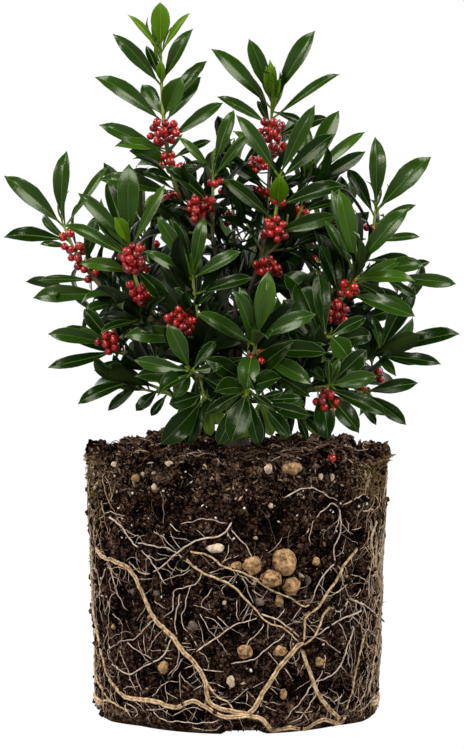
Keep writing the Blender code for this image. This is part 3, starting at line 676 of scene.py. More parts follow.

# The leaves that show clearly, by shoot: how far below the bud each one starts, in mm, the pixel of its tip, its tilt
# to the front in degrees, its kind, which is the tone it shows, its own green together with painted light and shade,
# and its breadth beside that of a plain leaf of its length
SEEN_LEAVES = {
    "leader_left": (
        (0, 160, 2, 6, YOUNG, 2.3), (3, 128, 15, 6, YOUNG, 0.85), (3, 190, 13, 6, YOUNG, 0.85),
        (32, 161, 60, 20, YOUNG, 1.8), (34, 113, 34, 10, MIDDLE, 1.1), (30, 146, 46, -12, DARK, 1.2),
        (30, 193, 29, 8, MIDDLE, 1.25), (68, 95, 77, 8, MIDDLE, 1.05), (62, 142, 85, -12, MIDDLE, 2.2),
        (56, 207, 61, 0, MIDDLE, 1.1), (68, 201, 77, -4, MIDDLE, 1.6), (62, 183, 76, 26, LIGHT, 2.1),
        (84, 223, 103, -6, MIDDLE, 1.0), (96, 99, 125, 8, MIDDLE, 1.1), (92, 115, 146, 14, LIGHT, 1.3),
        (112, 129, 151, 16, MIDDLE, 2.3), (99, 172, 145, 30, LIGHT, 1.6), (102, 211, 141, -10, DARK, 1.0),
        (122, 143, 172, 20, DARK, 1.9), (136, 99, 180, 5, MIDDLE, 1.15), (110, 200, 168, 10, DARK, 1.2), (140, 150, 226, 4, DARK, 1.4), (96, 183, 134, 8, LIGHT, 0.8),
    ),
    "centre_high": (
        (0, 234, 110, -8, MIDDLE, 1.25), (4, 178, 137, 14, LIGHT, 0.9), (8, 251, 134, 10, MIDDLE, 0.95),
        (34, 163, 166, 16, DARK, 1.05),
    ),
    "leader_right": (
        (2, 249, 39, 2, MIDDLE, 1.35), (2, 315, 31, 0, MIDDLE, 1.25), (10, 211, 49, 8, MIDDLE, 1.0),
        (20, 340, 74, -4, MIDDLE, 0.65), (4, 262, 82, -10, MIDDLE, 1.0), (26, 217, 97, 6, MIDDLE, 1.0),
        (28, 257, 101, -20, DARK, 1.3), (12, 303, 125, -20, DARK, 1.3), (58, 233, 131, 10, LIGHT, 1.0),
        (38, 328, 118, -14, DARK, 1.0), (86, 227, 164, 8, DARK, 1.1), (0, 270, 60, 30, YOUNG, 1.2),
        (2, 266, 66, 34, YOUNG, 1.3), (3, 281, 79, 38, YOUNG, 2.0), (1, 275, 66, 32, YOUNG, 1.3),
    ),
    "upper_front": (
        (2, 236, 115, 10, MIDDLE, 1.0), (4, 315, 105, 6, MIDDLE, 1.0), (31, 280, 174, 36, YOUNG, 2.3),
        (44, 222, 179, 14, DARK, 1.15), (30, 346, 186, 12, DARK, 1.15), (6, 335, 134, 4, DARK, 1.1),
        (60, 337, 216, 8, MIDDLE, 1.1),
    ),
    "upper_right": (
        (0, 339, 111, -10, MIDDLE, 1.2), (0, 365, 132, -4, LIGHT, 0.8), (6, 366, 152, 4, DARK, 1.1),
        (6, 303, 122, -20, MIDDLE, 1.1), (26, 337, 202, -10, DARK, 1.1), (10, 336, 180, -16, DARK, 1.2),
    ),
    "far_left": (
        (0, 67, 151, 2, MIDDLE, 1.3), (6, 4, 176, 6, MIDDLE, 1.1), (6, 109, 166, -16, LIGHT, 0.6),
        (18, 4, 237, 6, DARK, 1.1), (26, 40, 244, -6, MIDDLE, 0.9), (30, 86, 243, 30, DARK, 1.2),
        (62, 38, 281, 0, MIDDLE, 0.7), (80, 33, 298, 4, MIDDLE, 1.05), (92, 84, 312, 20, MIDDLE, 1.3), (46, 98, 215, -4, DARK, 1.3),
    ),
    "left_mid": (
        (0, 129, 164, -4, MIDDLE, 1.3), (2, 78, 193, 10, MIDDLE, 1.0), (6, 165, 185, -8, LIGHT, 0.75),
        (1, 114, 217, 28, YOUNG, 1.9), (14, 63, 225, 16, MIDDLE, 0.9), (30, 80, 264, 12, LIGHT, 1.05),
        (8, 107, 181, -16, DARK, 1.0), (12, 96, 213, -20, DARK, 1.2), (22, 171, 306, 14, DARK, 1.3),
    ),
    "left_low": (
        (0, 48, 334, 6, MIDDLE, 1.0), (8, 48, 368, 8, MIDDLE, 0.75), (4, 78, 328, -16, MIDDLE, 0.8),
        (24, 94, 371, 10, DARK, 0.7), (2, 84, 309, -10, DARK, 1.2), (14, 121, 297, -14, DARK, 1.1),
    ),
    "left_droop": ((2, 78, 404, 6, MIDDLE, 1.0), (10, 108, 411, 6, MIDDLE, 1.0), (28, 136, 411, 6, DARK, 1.5),
                   (38, 151, 416, 0, DARK, 1.2), (2, 100, 366, 0, DARK, 0.8)),
    "centre_left": (
        (0, 157, 217, 8, MIDDLE, 0.95), (0, 204, 217, -2, MIDDLE, 1.1), (5, 144, 251, 12, MIDDLE, 0.95),
        (3, 241, 252, 8, MIDDLE, 1.1), (18, 253, 278, 4, DARK, 0.95), (2, 170, 219, -8, DARK, 1.1),
        (60, 124, 336, 4, MIDDLE, 0.95), (24, 174, 288, 16, DARK, 1.3), (30, 214, 292, 8, DARK, 1.3),
        (44, 232, 318, 0, DARK, 1.3), (50, 222, 302, -10, DEEP_SHADE, 1.5),
    ),
    "low_left_front": (
        (0, 168, 324, 12, MIDDLE, 1.25), (2, 134, 360, 12, LIGHT, 1.1), (4, 216, 341, -6, DARK, 1.1),
        (4, 223, 366, 16, MIDDLE, 1.4), (4, 175, 398, 24, LIGHT, 1.9), (12, 160, 386, 0, DARK, 1.2),
        (26, 238, 396, 6, DARK, 1.1), (20, 196, 408, -6, DARK, 1.2),
    ),
    "centre_front": (
        (0, 268, 271, 6, LIGHT, 1.25), (2, 239, 287, 10, MIDDLE, 1.0), (14, 196, 313, 14, MIDDLE, 1.0),
        (4, 316, 314, 10, MIDDLE, 1.1), (26, 312, 385, 20, LIGHT, 1.0), (22, 327, 353, 2, MIDDLE, 1.0),
        (22, 247, 392, 38, LIGHT, 1.7), (40, 310, 397, 8, MIDDLE, 1.0), (30, 209, 372, 4, DARK, 1.0), (38, 278, 298, -12, DARK, 1.7),
    ),
    "low_front": (
        (0, 231, 443, 26, MIDDLE, 1.6), (4, 259, 446, -4, MIDDLE, 1.1), (6, 274, 410, 6, DARK, 1.1),
        (4, 218, 445, -8, DARK, 1.0), (8, 206, 414, 0, DARK, 1.1),
    ),
    "right_high": (
        (0, 375, 137, 0, MIDDLE, 1.3), (3, 431, 157, 4, MIDDLE, 1.3), (16, 416, 205, 6, MIDDLE, 0.9),
        (8, 347, 169, -10, DARK, 1.35), (32, 420, 237, -4, MIDDLE, 0.9), (50, 412, 262, -14, DARK, 1.1),
    ),
    "right_front": (
        (0, 338, 189, 6, LIGHT, 1.0), (2, 331, 190, -2, MIDDLE, 0.8), (2, 409, 208, 6, MIDDLE, 1.15),
        (4, 325, 221, -6, MIDDLE, 0.8), (10, 424, 265, -8, MIDDLE, 1.0), (12, 415, 281, 14, LIGHT, 1.1),
        (26, 415, 317, 8, MIDDLE, 1.15), (14, 386, 300, -10, DARK, 1.3), (30, 372, 290, -16, DARK, 1.4), (36, 320, 246, -10, DARK, 1.5), (58, 284, 274, -8, DARK, 1.7),
    ),
    "far_right": (
        (0, 460, 334, 2, MIDDLE, 0.9), (4, 441, 364, 6, MIDDLE, 0.85), (6, 421, 362, -4, DARK, 1.2),
        (4, 414, 286, -8, DARK, 1.15), (2, 407, 333, 4, MIDDLE, 0.5), (6, 396, 376, 36, LIGHT, 1.3),
        (2, 371, 316, -10, MIDDLE, 1.2),
    ),
    "right_droop": ((0, 406, 425, 10, MIDDLE, 1.15), (0, 418, 383, 4, MIDDLE, 1.0), (10, 376, 425, -4, DARK, 0.8)),
    "right_low_front": (
        (0, 377, 376, 14, LIGHT, 1.3), (4, 366, 350, -12, DARK, 1.3), (0, 328, 359, 10, MIDDLE, 1.1), (10, 387, 416, 8, MIDDLE, 0.85),
        (14, 359, 433, 16, MIDDLE, 1.2), (14, 328, 440, 20, MIDDLE, 1.5), (2, 340, 358, 4, LIGHT, 1.2),
    ),
    "inner_right": ((0, 351, 364, 34, LIGHT, 2.0), (4, 318, 272, -10, DARK, 1.1), (6, 366, 318, -14, DARK, 1.2), (14, 372, 336, -20, DARK, 1.3),
                    (10, 297, 282, -10, DARK, 1.7), (18, 283, 300, -16, DARK, 1.7), (30, 318, 340, 0, DARK, 1.4),
                    (40, 292, 322, -6, DARK, 1.6), (34, 276, 352, 4, DARK, 1.4)),
}
LONGEST_LEAF = 0.080
SEEN_FACING = 1.8
SEEN_SLIM = 0.90

# Twigs that show, by shoot: their depth on its stem, the pixel of their tip and how far it stands in front of its
# node in mm, and their leaves
SEEN_TWIGS = {
    "low_left_front": ((28, 204, 398, 12), (
        (0, 161, 444, 10, MIDDLE, 1.45), (3, 187, 445, -4, DARK, 1.05), (5, 211, 436, -8, DEEP_SHADE, 1.2), (4, 169, 404, 6, DARK, 1.9),
        (7, 178, 420, -12, DEEP_SHADE, 1.2), (10, 222, 425, -10, DEEP_SHADE, 1.2), (2, 232, 412, 8, DARK, 0.9),
    )),
    "low_front": ((30, 262, 405, 12), (
        (0, 289, 437, 14, MIDDLE, 1.35), (3, 310, 416, 6, MIDDLE, 1.0), (6, 258, 444, -8, DARK, 1.1),
        (4, 240, 438, -14, DEEP_SHADE, 1.2), (8, 284, 392, 4, DARK, 1.1), (9, 272, 436, -12, DEEP_SHADE, 1.2),
        (5, 302, 398, -6, DARK, 1.0), (2, 250, 424, 2, DARK, 1.1),
    )),
    "right_front": ((18, 388, 276, -10), (
        (0, 456, 284, -2, MIDDLE, 1.0), (3, 430, 262, -6, DARK, 1.0), (5, 416, 298, -4, DARK, 1.1),
    )),
    "far_right": ((12, 372, 366, -6), (
        (0, 365, 322, 2, DARK, 1.5), (3, 386, 326, -2, DARK, 1.3), (5, 352, 340, -4, DARK, 1.3),
    )),
    "right_low_front": ((46, 296, 412, 12), (
        (0, 308, 440, 4, DARK, 1.0), (2, 332, 438, 10, MIDDLE, 1.1), (5, 282, 440, -8, DEEP_SHADE, 1.1),
        (4, 322, 420, -8, DARK, 1.1), (6, 276, 424, -8, DEEP_SHADE, 1.2), (8, 318, 434, -12, DEEP_SHADE, 1.2),
    )),
}

# Clusters that show away from their stem's middle, by shoot and depth: the pixel of their heart
SEEN_HEARTS = {
    ("leader_left", 76): (163, 131), ("leader_left", 99): (165, 157), ("leader_left", 120): (176, 168), ("leader_left", 136): (172, 196),
    ("leader_right", 33): (272, 129), ("leader_right", 48): (278, 146), ("leader_right", 66): (258, 166),
    ("leader_right", 92): (262, 193), ("upper_front", 47): (275, 230), ("upper_front", 85): (268, 268),
    ("upper_right", 30): (302, 212), ("centre_high", 11): (217, 182), ("centre_high", 34): (201, 207), ("left_mid", 20): (132, 260),
    ("left_mid", 38): (138, 290), ("centre_left", 42): (181, 321), ("centre_front", 20): (256, 361),
    ("right_front", 20): (349, 291), ("right_front", 38): (337, 310), ("right_low_front", 13): (327, 401),
    ("left_low", 8): (108, 340), ("far_right", 20): (380, 374), ("far_right", 40): (364, 388),
}

# Buds that stand a little further in or out than those of the solids, in mm
SEEN_BUDS = {"far_left": (-161, 0, 457), "far_right": (134, -20, 338)}


def seen_at(x, y, depth):
    """The point at a depth, as its Y, that a pixel of the photograph shows."""
    lean = math.radians(90 - CAMERA_PITCH)
    up = (PHOTO_HEIGHT / 2 - y) / FOCAL_PIXELS
    way = Vector(((x - PHOTO_WIDTH / 2) / FOCAL_PIXELS, up * math.cos(lean) + math.sin(lean),
                  up * math.sin(lean) - math.cos(lean)))
    eye = Vector(CAMERA_PLACE)
    return eye + way * ((depth - eye.y) / way.y)


def seen_leaf(stem, depth, x, y, tilt, kind, breadth):
    """A leaf from its place on the stem to the pixel that its tip shows at."""
    root, _ = stem.below(depth * MM)
    reach = (seen_at(x, y, root.y) - root).length
    tip = seen_at(x, y, root.y - reach * math.tan(math.radians(tilt)))
    length = min((tip - root).length, LONGEST_LEAF)
    leaf = leaf_at(stem, depth * MM, (tip - root).normalized(), length, FRONT * SEEN_FACING, kind)
    way = (leaf.way + leaf.face * TIP_BEND).normalized()
    return leaf_at(stem, depth * MM, way, length, FRONT * SEEN_FACING, kind)._replace(breadth=breadth * SEEN_SLIM)


def seen_twig(name, stem):
    """The twig that hangs from the stem to where it shows, with its leaves."""
    (depth, x, y, forward), leaves = SEEN_TWIGS[name]
    node, _ = stem.below(depth * MM)
    tip = seen_at(x, y, node.y - forward * MM)
    twig = Stem(bend(node, node.lerp(tip, 0.5) + UP * 0.004, tip, 7), (tip - node).normalized())
    return twig, [shaded(seen_leaf(twig, *seen), True) for seen in leaves]


def finer_leaves(name, shoot, stem, chance, outward):
    """Small young leaves round the bud, and more leaves between the whorls."""
    leaves = []
    start = chance.random() * math.tau
    high = stem.points[-1].z > GREEN_TIPS
    for index in range(TIP_LEAVES if high else 2):
        way = way_at(stem.axis, start + index * GOLDEN_TURN, 8 + 5 * index)
        length = TIP_LENGTH * (1 + 0.2 * index if high else 0.6) * chance.uniform(0.9, 1.1)
        leaves.append(leaf_at(stem, 0.001 + 0.0015 * index, way, length, outward, YOUNG if index < 4 else LIGHT))
    for row in range(len(shoot.whorls) + 1):
        more = 0 if stem.points[-1].z < LOW_BUD else 1 if shoot.young else MORE_PER_ROW
        for index in range(more):
            depth = (row + 0.55) * WHORL_STEP + index * NODE_STEP
            if stem.below(depth) is None:
                break
            _, axis = stem.below(depth)
            start += GOLDEN_TURN
            spread = SPREADS[min(row, len(SPREADS) - 1)] + chance.uniform(8, 22)
            length = LEAF_LENGTH * chance.uniform(0.62, 0.88)
            leaves.append(leaf_at(stem, depth, way_at(axis, start, spread), length, outward, chance.choice(KIND_SHARES)))
    return leaves


def side_twigs(name, shoot, stem, keeps):
    """Short twigs that leave the stem below its whorls, each with its own leaves."""
    chance = random.Random(name + "_twigs")
    twigs, leaves = [], []
    turn = chance.random() * math.tau
    for step in (-0.2, 0.4, 1.0, 1.7):
        depth = (len(shoot.whorls) + step) * WHORL_STEP
        if stem.below(depth) is None:
            break
        node, axis = stem.below(depth)
        turn += GOLDEN_TURN
        way = (way_at(axis, turn, 60) + UP * 0.35).normalized()
        tip = node + way * chance.uniform(0.024, 0.040)
        twig = Stem(bend(node, node.lerp(tip, 0.5) - UP * 0.002, tip, 5), way)
        grown = []
        for index in range(TWIG_LEAVES):
            turn += GOLDEN_TURN
            leaf_way = way_at(way, turn, 24 + 8 * index)
            length = LEAF_LENGTH * chance.uniform(0.55, 0.80)
            leaf = leaf_at(twig, 0.001 + 0.0030 * index, leaf_way, length, way, chance.choice((DARK, DARK, MIDDLE)))
            if keeps(leaf):
                grown.append(shaded(leaf))
        if len(grown) > 2:
            twigs.append(twig)
            leaves += grown
    return twigs, leaves


# Leaves

BLADE_ROWS = (0.0, 0.05, 0.13, 0.23, 0.34, 0.45, 0.56, 0.67, 0.77, 0.855, 0.92, 0.965, 1.0)
LEAF_ROWS = len(BLADE_ROWS) + 1
PETIOLE = 0.10
PETIOLE_HALF = 0.0010
MIDRIB_HALF = 0.00048
MARGIN = 0.00042
FOLD = 0.92
CURL = 0.32
ARCH = 0.085
TIP_BEND = 0.035
LEAF_COLUMNS = 9
BLADE_SLOTS = (MARGIN_SLOT, 0, 0, MIDRIB_SLOT, MIDRIB_SLOT, 0, 0, MARGIN_SLOT)  # across a leaf


def leaf_parts(leaves, seed):
    """All the leaves as one part: each a thin closed blade, folded on its midrib and arching down to its tip."""
    chance = np.random.default_rng(seed)
    count = len(leaves)
    root = np.array([leaf.root for leaf in leaves])
    way = np.array([leaf.way for leaf in leaves])
    face = np.array([leaf.face for leaf in leaves])
    length = np.array([leaf.length for leaf in leaves])
    kind = np.array([leaf.kind for leaf in leaves])
    side = np.cross(face, way)
    along = np.concatenate([[0.0], PETIOLE + (1 - PETIOLE) * np.array(BLADE_ROWS)])
    blade = np.clip((along - PETIOLE) / (1 - PETIOLE), 0, 1)
    outline = (blade + 1e-9) ** 1.15 * (1 - blade) ** 0.74 * (1 - 0.5 * np.exp(-(((1 - blade) / 0.06) ** 2)))
    outline = outline / outline.max() * chance.normal(1, 0.022, (count, LEAF_ROWS))
    width = LEAF_WIDTH * np.interp(root[:, 2], (LOW_LEAVES, HIGH_LEAVES), (WIDTH_LOW, WIDTH_HIGH))
    width *= (length / LEAF_LENGTH) * np.array([leaf.breadth for leaf in leaves])
    half = width[:, None] / 2 * chance.uniform(0.90, 1.08, (count, 1)) * outline
    half = np.maximum(half, PETIOLE_HALF * np.interp(along, (0, PETIOLE, 0.5, 1), (1.0, 1.0, 0.6, 0.25)))
    bow = 4 * along * (1 - along)
    hook = 2.12 * along * (1 - along**3) - TIP_BEND / ARCH * np.clip((along - 0.86) / 0.14, 0, 1) ** 2
    sway = chance.normal(0, 0.012, (count, 1)) * length[:, None] * bow
    droop = np.clip(ARCH + chance.normal(0, 0.030, (count, 1)), 0.015, 0.15) * length[:, None] * hook
    twist = chance.normal(0, 0.20, (count, 1)) * along
    wave = chance.uniform(0, math.tau, (count, 1))
    pace = chance.uniform(7, 13, (count, 1))
    fold = chance.uniform(0.55, 1.15, (count, 1)) * np.interp(along, (0, 0.3, 1), (1.2, 1.0, 0.8))
    midrib = np.minimum(MIDRIB_HALF * (1.25 - 0.9 * along), half * 0.45)
    margin = np.maximum(half - MARGIN, half * 0.82)
    middle = (midrib + margin) / 2
    zero = np.zeros_like(half)
    across = np.stack([-half, -margin, -middle, -midrib, zero, midrib, middle, margin, half], axis=-1)
    share = np.abs(across) / half[..., None]
    lift = half[..., None] * (FOLD * share - CURL * share**2) * fold[..., None]
    ripple = share**2 * np.sin(pace[..., None] * along[None, :, None] + wave[..., None] + (across > 0) * 1.7)
    lift = lift + 0.07 * half[..., None] * ripple
    lift[..., 4] += 0.00025 * outline
    under = -np.full_like(half, 0.00035) - 0.0002 * (1 - along)
    across = np.concatenate([across, zero[..., None]], axis=-1)
    lift = np.concatenate([lift, under[..., None]], axis=-1)
    cos, sin = np.cos(twist)[..., None], np.sin(twist)[..., None]
    turned_across = across * cos - lift * sin
    turned_lift = across * sin + lift * cos
    centre = root[:, None] + way[:, None] * (along * length[:, None])[..., None]
    points = centre[:, :, None] + side[:, None, None] * (turned_across + sway[..., None])[..., None]
    points = points + face[:, None, None] * (turned_lift + droop[..., None])[..., None]
    columns = LEAF_COLUMNS + 1
    under_column = LEAF_COLUMNS
    faces, slots = [], []
    for row in range(LEAF_ROWS - 1):
        a, b = row * columns, (row + 1) * columns
        for column in range(LEAF_COLUMNS - 1):
            faces.append((a + column, a + column + 1, b + column + 1, b + column))
            slots.append(YOUNG_MIDRIB if row == 0 else BLADE_SLOTS[column])
        faces.append((a + under_column, a, b, b + under_column))
        faces.append((a + LEAF_COLUMNS - 1, a + under_column, b + under_column, b + LEAF_COLUMNS - 1))
        slots += [YOUNG_UNDER if row == 0 else UNDER_SHADE_SLOT] * 2
    top = (LEAF_ROWS - 1) * columns
    for column in range(0, LEAF_COLUMNS - 1, 2):
        faces.append((top + column, top + column + 1, top + column + 2, top + under_column))
        faces.append((column + 2, column + 1, column, under_column))
        slots += [MARGIN_SLOT, MIDRIB_SLOT]
    faces, slots = np.array(faces), np.array(slots)
    starts = np.arange(count)[:, None, None] * (LEAF_ROWS * columns)
    slots = np.repeat(slots[None], count, axis=0)
    slots = np.where(slots == 0, kind[:, None], slots)
    young, in_deep_shade = (kind == YOUNG)[:, None], (kind == DEEP_SHADE)[:, None]
    slots = np.where(young & (slots == MIDRIB_SLOT), YOUNG_MIDRIB, slots)
    slots = np.where(young & (slots == UNDER_SHADE_SLOT), YOUNG_UNDER, slots)
    # Leaves in the painted deep shade get a dark margin, midrib and underside as well
    slots = np.where(in_deep_shade & (slots >= MARGIN_SLOT) & (slots < DEEP_SHADE), DARK, slots)
    return points.reshape(-1, 3), (faces[None] + starts).reshape(-1, 4), slots.ravel()


# Berries


CLUSTER_SHIFT = 0.008
MORE_BERRIES = 0.95
FULL_CLUSTER = 11


def berry_count(count):
    return round(count * MORE_BERRIES) if count >= FULL_CLUSTER else count


def cluster_radius(count):
    return BERRY_RADIUS * (2.1 * berry_count(count)) ** (1 / 3)


def seen_heart(name, depth, node):
    """The heart of a cluster: its node on the stem, or where the cluster shows beside it."""
    return seen_at(*SEEN_HEARTS[name, depth], node.y) if (name, depth) in SEEN_HEARTS else node


def cluster_hearts():
    """The middle and radius of each cluster of berries on the front half of the plant."""
    hearts = []
    for name, shoot in SHOOTS.items():
        stem = shoot_stem(name, shoot)
        for depth, count in shoot.clusters:
            if stem.below(depth * MM) and stem.below(depth * MM)[0].y < HEART_BACK:
                hearts.append((seen_heart(name, depth, stem.below(depth * MM)[0]), cluster_radius(count)))
    return hearts


HEART_BACK = 0.040
LEAF_LOOKS = (0.2, 0.4, 0.6, 0.8, 0.97)

# Where the white background shows between the leaves at the crown's edge, as (left, top, right, bottom) in pixels
OPEN_SKY = (
    (0, 246, 70, 276), (0, 303, 86, 328), (122, 64, 143, 84), (195, 46, 212, 60), (50, 371, 84, 389), (0, 185, 30, 228), (188, 108, 214, 150), (384, 148, 402, 182), (42, 178, 60, 208),
    (376, 240, 414, 259), (296, 58, 322, 82), (416, 296, 440, 324), (225, 112, 248, 133), (30, 378, 74, 440),
    (80, 412, 160, 440), (395, 215, 440, 236), (424, 240, 464, 262), (318, 84, 336, 108), (112, 155, 124, 175),
)

# How low the leaves hang over the soil, as (x, height) in mm
LOWEST_TIPS = ((-170, 332), (-144, 299), (-100, 278), (-60, 268), (60, 270), (100, 280), (155, 283), (185, 330))


def lifted(leaf):
    """The leaf, swung up about its root where its tip would hang too low."""
    tip = leaf.root + leaf.way * leaf.length
    lowest = np.interp(tip.x / MM, *zip(*LOWEST_TIPS)) * MM
    if tip.z >= lowest:
        return leaf
    flat = Vector((leaf.way.x, leaf.way.y, 0.0)).normalized()
    rise = max(-0.98, min(0.7, (lowest - leaf.root.z) / leaf.length))
    way = flat * math.sqrt(1 - rise**2) + UP * rise
    return leaf._replace(way=way, face=(leaf.face - way * leaf.face.dot(way)).normalized())



def in_sky(point):
    """Whether the photograph shows a white background where this point would show."""
    lean = math.radians(CAMERA_PITCH)
    way = point - Vector(CAMERA_PLACE)
    away = way.y * math.cos(lean) - way.z * math.sin(lean)
    x = PHOTO_WIDTH / 2 + FOCAL_PIXELS * way.x / away
    y = PHOTO_HEIGHT / 2 - FOCAL_PIXELS * (way.y * math.sin(lean) + way.z * math.cos(lean)) / away
    return any(left < x < right and top < y < bottom for left, top, right, bottom in OPEN_SKY)


def leaf_keeper(mass, hearts):
    """The rule for a leaf that isn't one of the shown ones: it keeps within its mass's reach, off the soil, and
    out of the way of the clusters of berries as they are seen from the front."""
    low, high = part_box(mass)

    def keeps(leaf):
        tip = leaf.root + leaf.way * leaf.length
        if any(not a < b < c for a, b, c in zip(low, tip, high)):
            return False
        for share in LEAF_LOOKS:
            point = leaf.root + leaf.way * leaf.length * share
            if share > 0.5 and in_sky(point):
                return False
            for heart, radius in hearts:
                if point.y < heart.y and math.hypot(point.x - heart.x, point.z - heart.z) < radius:
                    return False
        return True

    return keeps


def cluster_berries(name, shoot, stem):
    """Centres of the berries, each with its place on the stem: packed round the stem, none through another."""
    chance = random.Random(name + "_berries")
    found = []
    for depth, count in shoot.clusters:
        if stem.below(depth * MM) is None:
            continue
        node, axis = stem.below(depth * MM)
        heart = seen_heart(name, depth, node)
        if count >= FULL_CLUSTER:
            heart = heart + FRONT * (CLUSTER_SHIFT if heart.y < HEART_BACK else -CLUSTER_SHIFT)
        reach = cluster_radius(count)
        tries = []
        for _ in range(1100):
            off = Vector([chance.uniform(-1, 1) for _ in range(3)])
            if off.length < 1.0:
                tries.append(off * reach)
        tries.sort(key=lambda off: off.length)
        wanted = berry_count(count)
        for off in tries:
            along = off.dot(axis)
            from_stem = (off - axis * along).length
            centre = heart + off
            clear = all((centre - other).length > 1.9 * BERRY_RADIUS for other, _ in found)
            if from_stem > BERRY_RADIUS + 0.0016 and clear and wanted:
                found.append((centre, node + axis * along * 0.5))
                wanted -= 1
    return found


def berry_parts(berries, seed):
    """Round berries with a dark calyx dot, each on a short stalk."""
    chance = np.random.default_rng(seed)
    points, faces = BERRY_FORM
    parts = []
    for centre, node in berries:
        out = np.array((centre - node).normalized()) + chance.normal(0, 0.25, 3)
        out /= np.linalg.norm(out)
        side = np.cross(out, (0.2, 0.1, 0.97))
        side /= np.linalg.norm(side)
        turn = np.stack([side, np.cross(out, side), out])
        size = BERRY_RADIUS * chance.uniform(0.88, 1.04)
        form = points.copy()
        form[:, 2] -= 0.06 * np.exp(-((1 - points[:, 2]) / 0.03) ** 2)
        parts.append((form @ turn * size + np.array(centre), faces, BERRY_SLOTS + int(chance.random() < 0.3) * 3))
        knee = np.array(node) * 0.4 + np.array(centre) * 0.6 - np.array((0.0, 0.0, 0.0012))
        route = smooth_route([np.array(node), knee, np.array(centre)], 3)
        parts.append(tube(route, np.full(len(route), 0.00045), 4, 2))
    return parts


def berry_form():
    """A berry of radius 1 whose calyx is at +Z, with the slot of each face."""
    form = bmesh.new()
    bmesh.ops.create_uvsphere(form, u_segments=14, v_segments=11, radius=1.0)
    bmesh.ops.triangulate(form, faces=form.faces)
    form.verts.ensure_lookup_table()
    points = np.array([vertex.co for vertex in form.verts])
    faces = np.array([[vertex.index for vertex in face.verts] for face in form.faces])
    form.free()
    heights = points[faces].mean(axis=1)[:, 2]
    return (points, faces), np.where(heights > 0.97, 1, 0)


BERRY_FORM, BERRY_SLOTS = berry_form()


# The plant

TWIG_SIDES = 8
GREEN_STEM = 0.045
GREEN_LEADER = 0.075


def stem_part(stem, green):
    """A shoot's stem: green at its bud and brown further down, thicker at each node."""
    route = smooth_route([np.array(point) for point in stem.points], 8)[::-1]
    depth = np.concatenate([[0.0], np.cumsum(np.linalg.norm(np.diff(route, axis=0), axis=1))])
    radii = np.minimum(STEM_TIP + STEM_THICKENING * depth, BOUGH_TIP)
    radii = radii * (1 + 0.10 * np.cos(depth / NODE_STEP * math.tau) ** 4)
    radii[0] *= 0.6
    kinds = np.where(depth[:-1] < green, 0, np.where(depth[:-1] < green + 0.05, 1, 2))
    return tube(route, radii, TWIG_SIDES, kinds)


def twig_part(twig):
    """A side twig, olive at its foot and green at its tip."""
    route = smooth_route([np.array(point) for point in twig.points], 3)
    return tube(route, np.linspace(0.0015, 0.0008, len(route)), 6, np.where(np.arange(len(route) - 1) < 7, 1, 0))


def grow_mass(mass, hearts, materials, seed):
    leaf_materials, berry_materials, twig_materials = materials
    leaves, berries, parts = [], [], []
    keeps = leaf_keeper(mass, hearts)
    foot, part = mass_neck(mass)
    parts.append(tube([foot, foot.lerp(part, 0.5), part], [BOUGH_TIP, BOUGH_TIP, BOUGH_TIP], TWIG_SIDES, 2))
    for name, shoot in SHOOTS.items():
        if shoot.mass != mass:
            continue
        stem = shoot_stem(name, shoot)
        twigs, twig_leaves = side_twigs(name, shoot, stem, keeps)
        parts.append(stem_part(stem, GREEN_LEADER if shoot.young else GREEN_STEM))
        if name in SEEN_TWIGS:
            twigs.append(seen_twig(name, stem)[0])
        parts += [twig_part(twig) for twig in twigs]
        leaves += shoot_leaves(name, shoot, stem, keeps) + [lifted(leaf) for leaf in twig_leaves]
        berries += cluster_berries(name, shoot, stem)
    add_piece(f"{mass}_leaves", [leaf_parts(leaves, seed)], leaf_materials, [mass])
    add_piece(f"{mass}_twigs", parts, twig_materials)
    if berries:
        add_piece(f"{mass}_berries", berry_parts(berries, seed), berry_materials)
    return len(leaves), len(berries)


def relief_tube(points, radii, sides, kinds=0):
    """A limb with the furrows of its bark."""
    corners, faces, slots = tube(points, radii, sides, kinds)
    points = np.asarray(points, float)
    for index in range(len(points) * sides):
        centre = points[index // sides]
        place = Vector(corners[index])
        ridge = noise.noise(Vector((place.x * 420, place.y * 420, place.z * 60)))
        knot = noise.noise(place * 130)
        corners[index] = centre + (corners[index] - centre) * (1 + 0.09 * ridge + 0.06 * knot)
    return corners, faces, slots


def limbs(material):
    """The trunk and boughs with their bark."""
    heights = np.linspace(BALL_HEIGHT + GAP, TRUNK_TOP, 40)
    centres = [trunk_centre(height) for height in heights]
    flare = np.exp(-(heights - BALL_HEIGHT) / (FLARE_HEIGHT * 0.6))
    radii = [trunk_radius(max(height, BALL_HEIGHT + FLARE_HEIGHT)) for height in heights]
    radii = np.array(radii) + (TRUNK_FLARE - TRUNK_WAIST) * 0.9 * flare
    parts = [relief_tube(centres, radii, 28)]
    for mass in BOUGH_RINGS:
        route = smooth_route([np.array(point) for point in bough_route(mass)], 7)
        radii = np.linspace(BOUGH_START, BOUGH_TIP, len(route)) * 0.97
        parts.append(relief_tube(route, radii, 14))
    names = ["trunk"] + [f"bough_{mass}" for mass in BOUGH_RINGS]
    add_piece("bark", parts, [material], names)


# The root ball


def wall_radius(height):
    share = (height - FOOT_HEIGHT) / (BALL_HEIGHT - FOOT_HEIGHT)
    return BALL_LOW_RADIUS + (BALL_TOP_RADIUS - BALL_LOW_RADIUS) * share


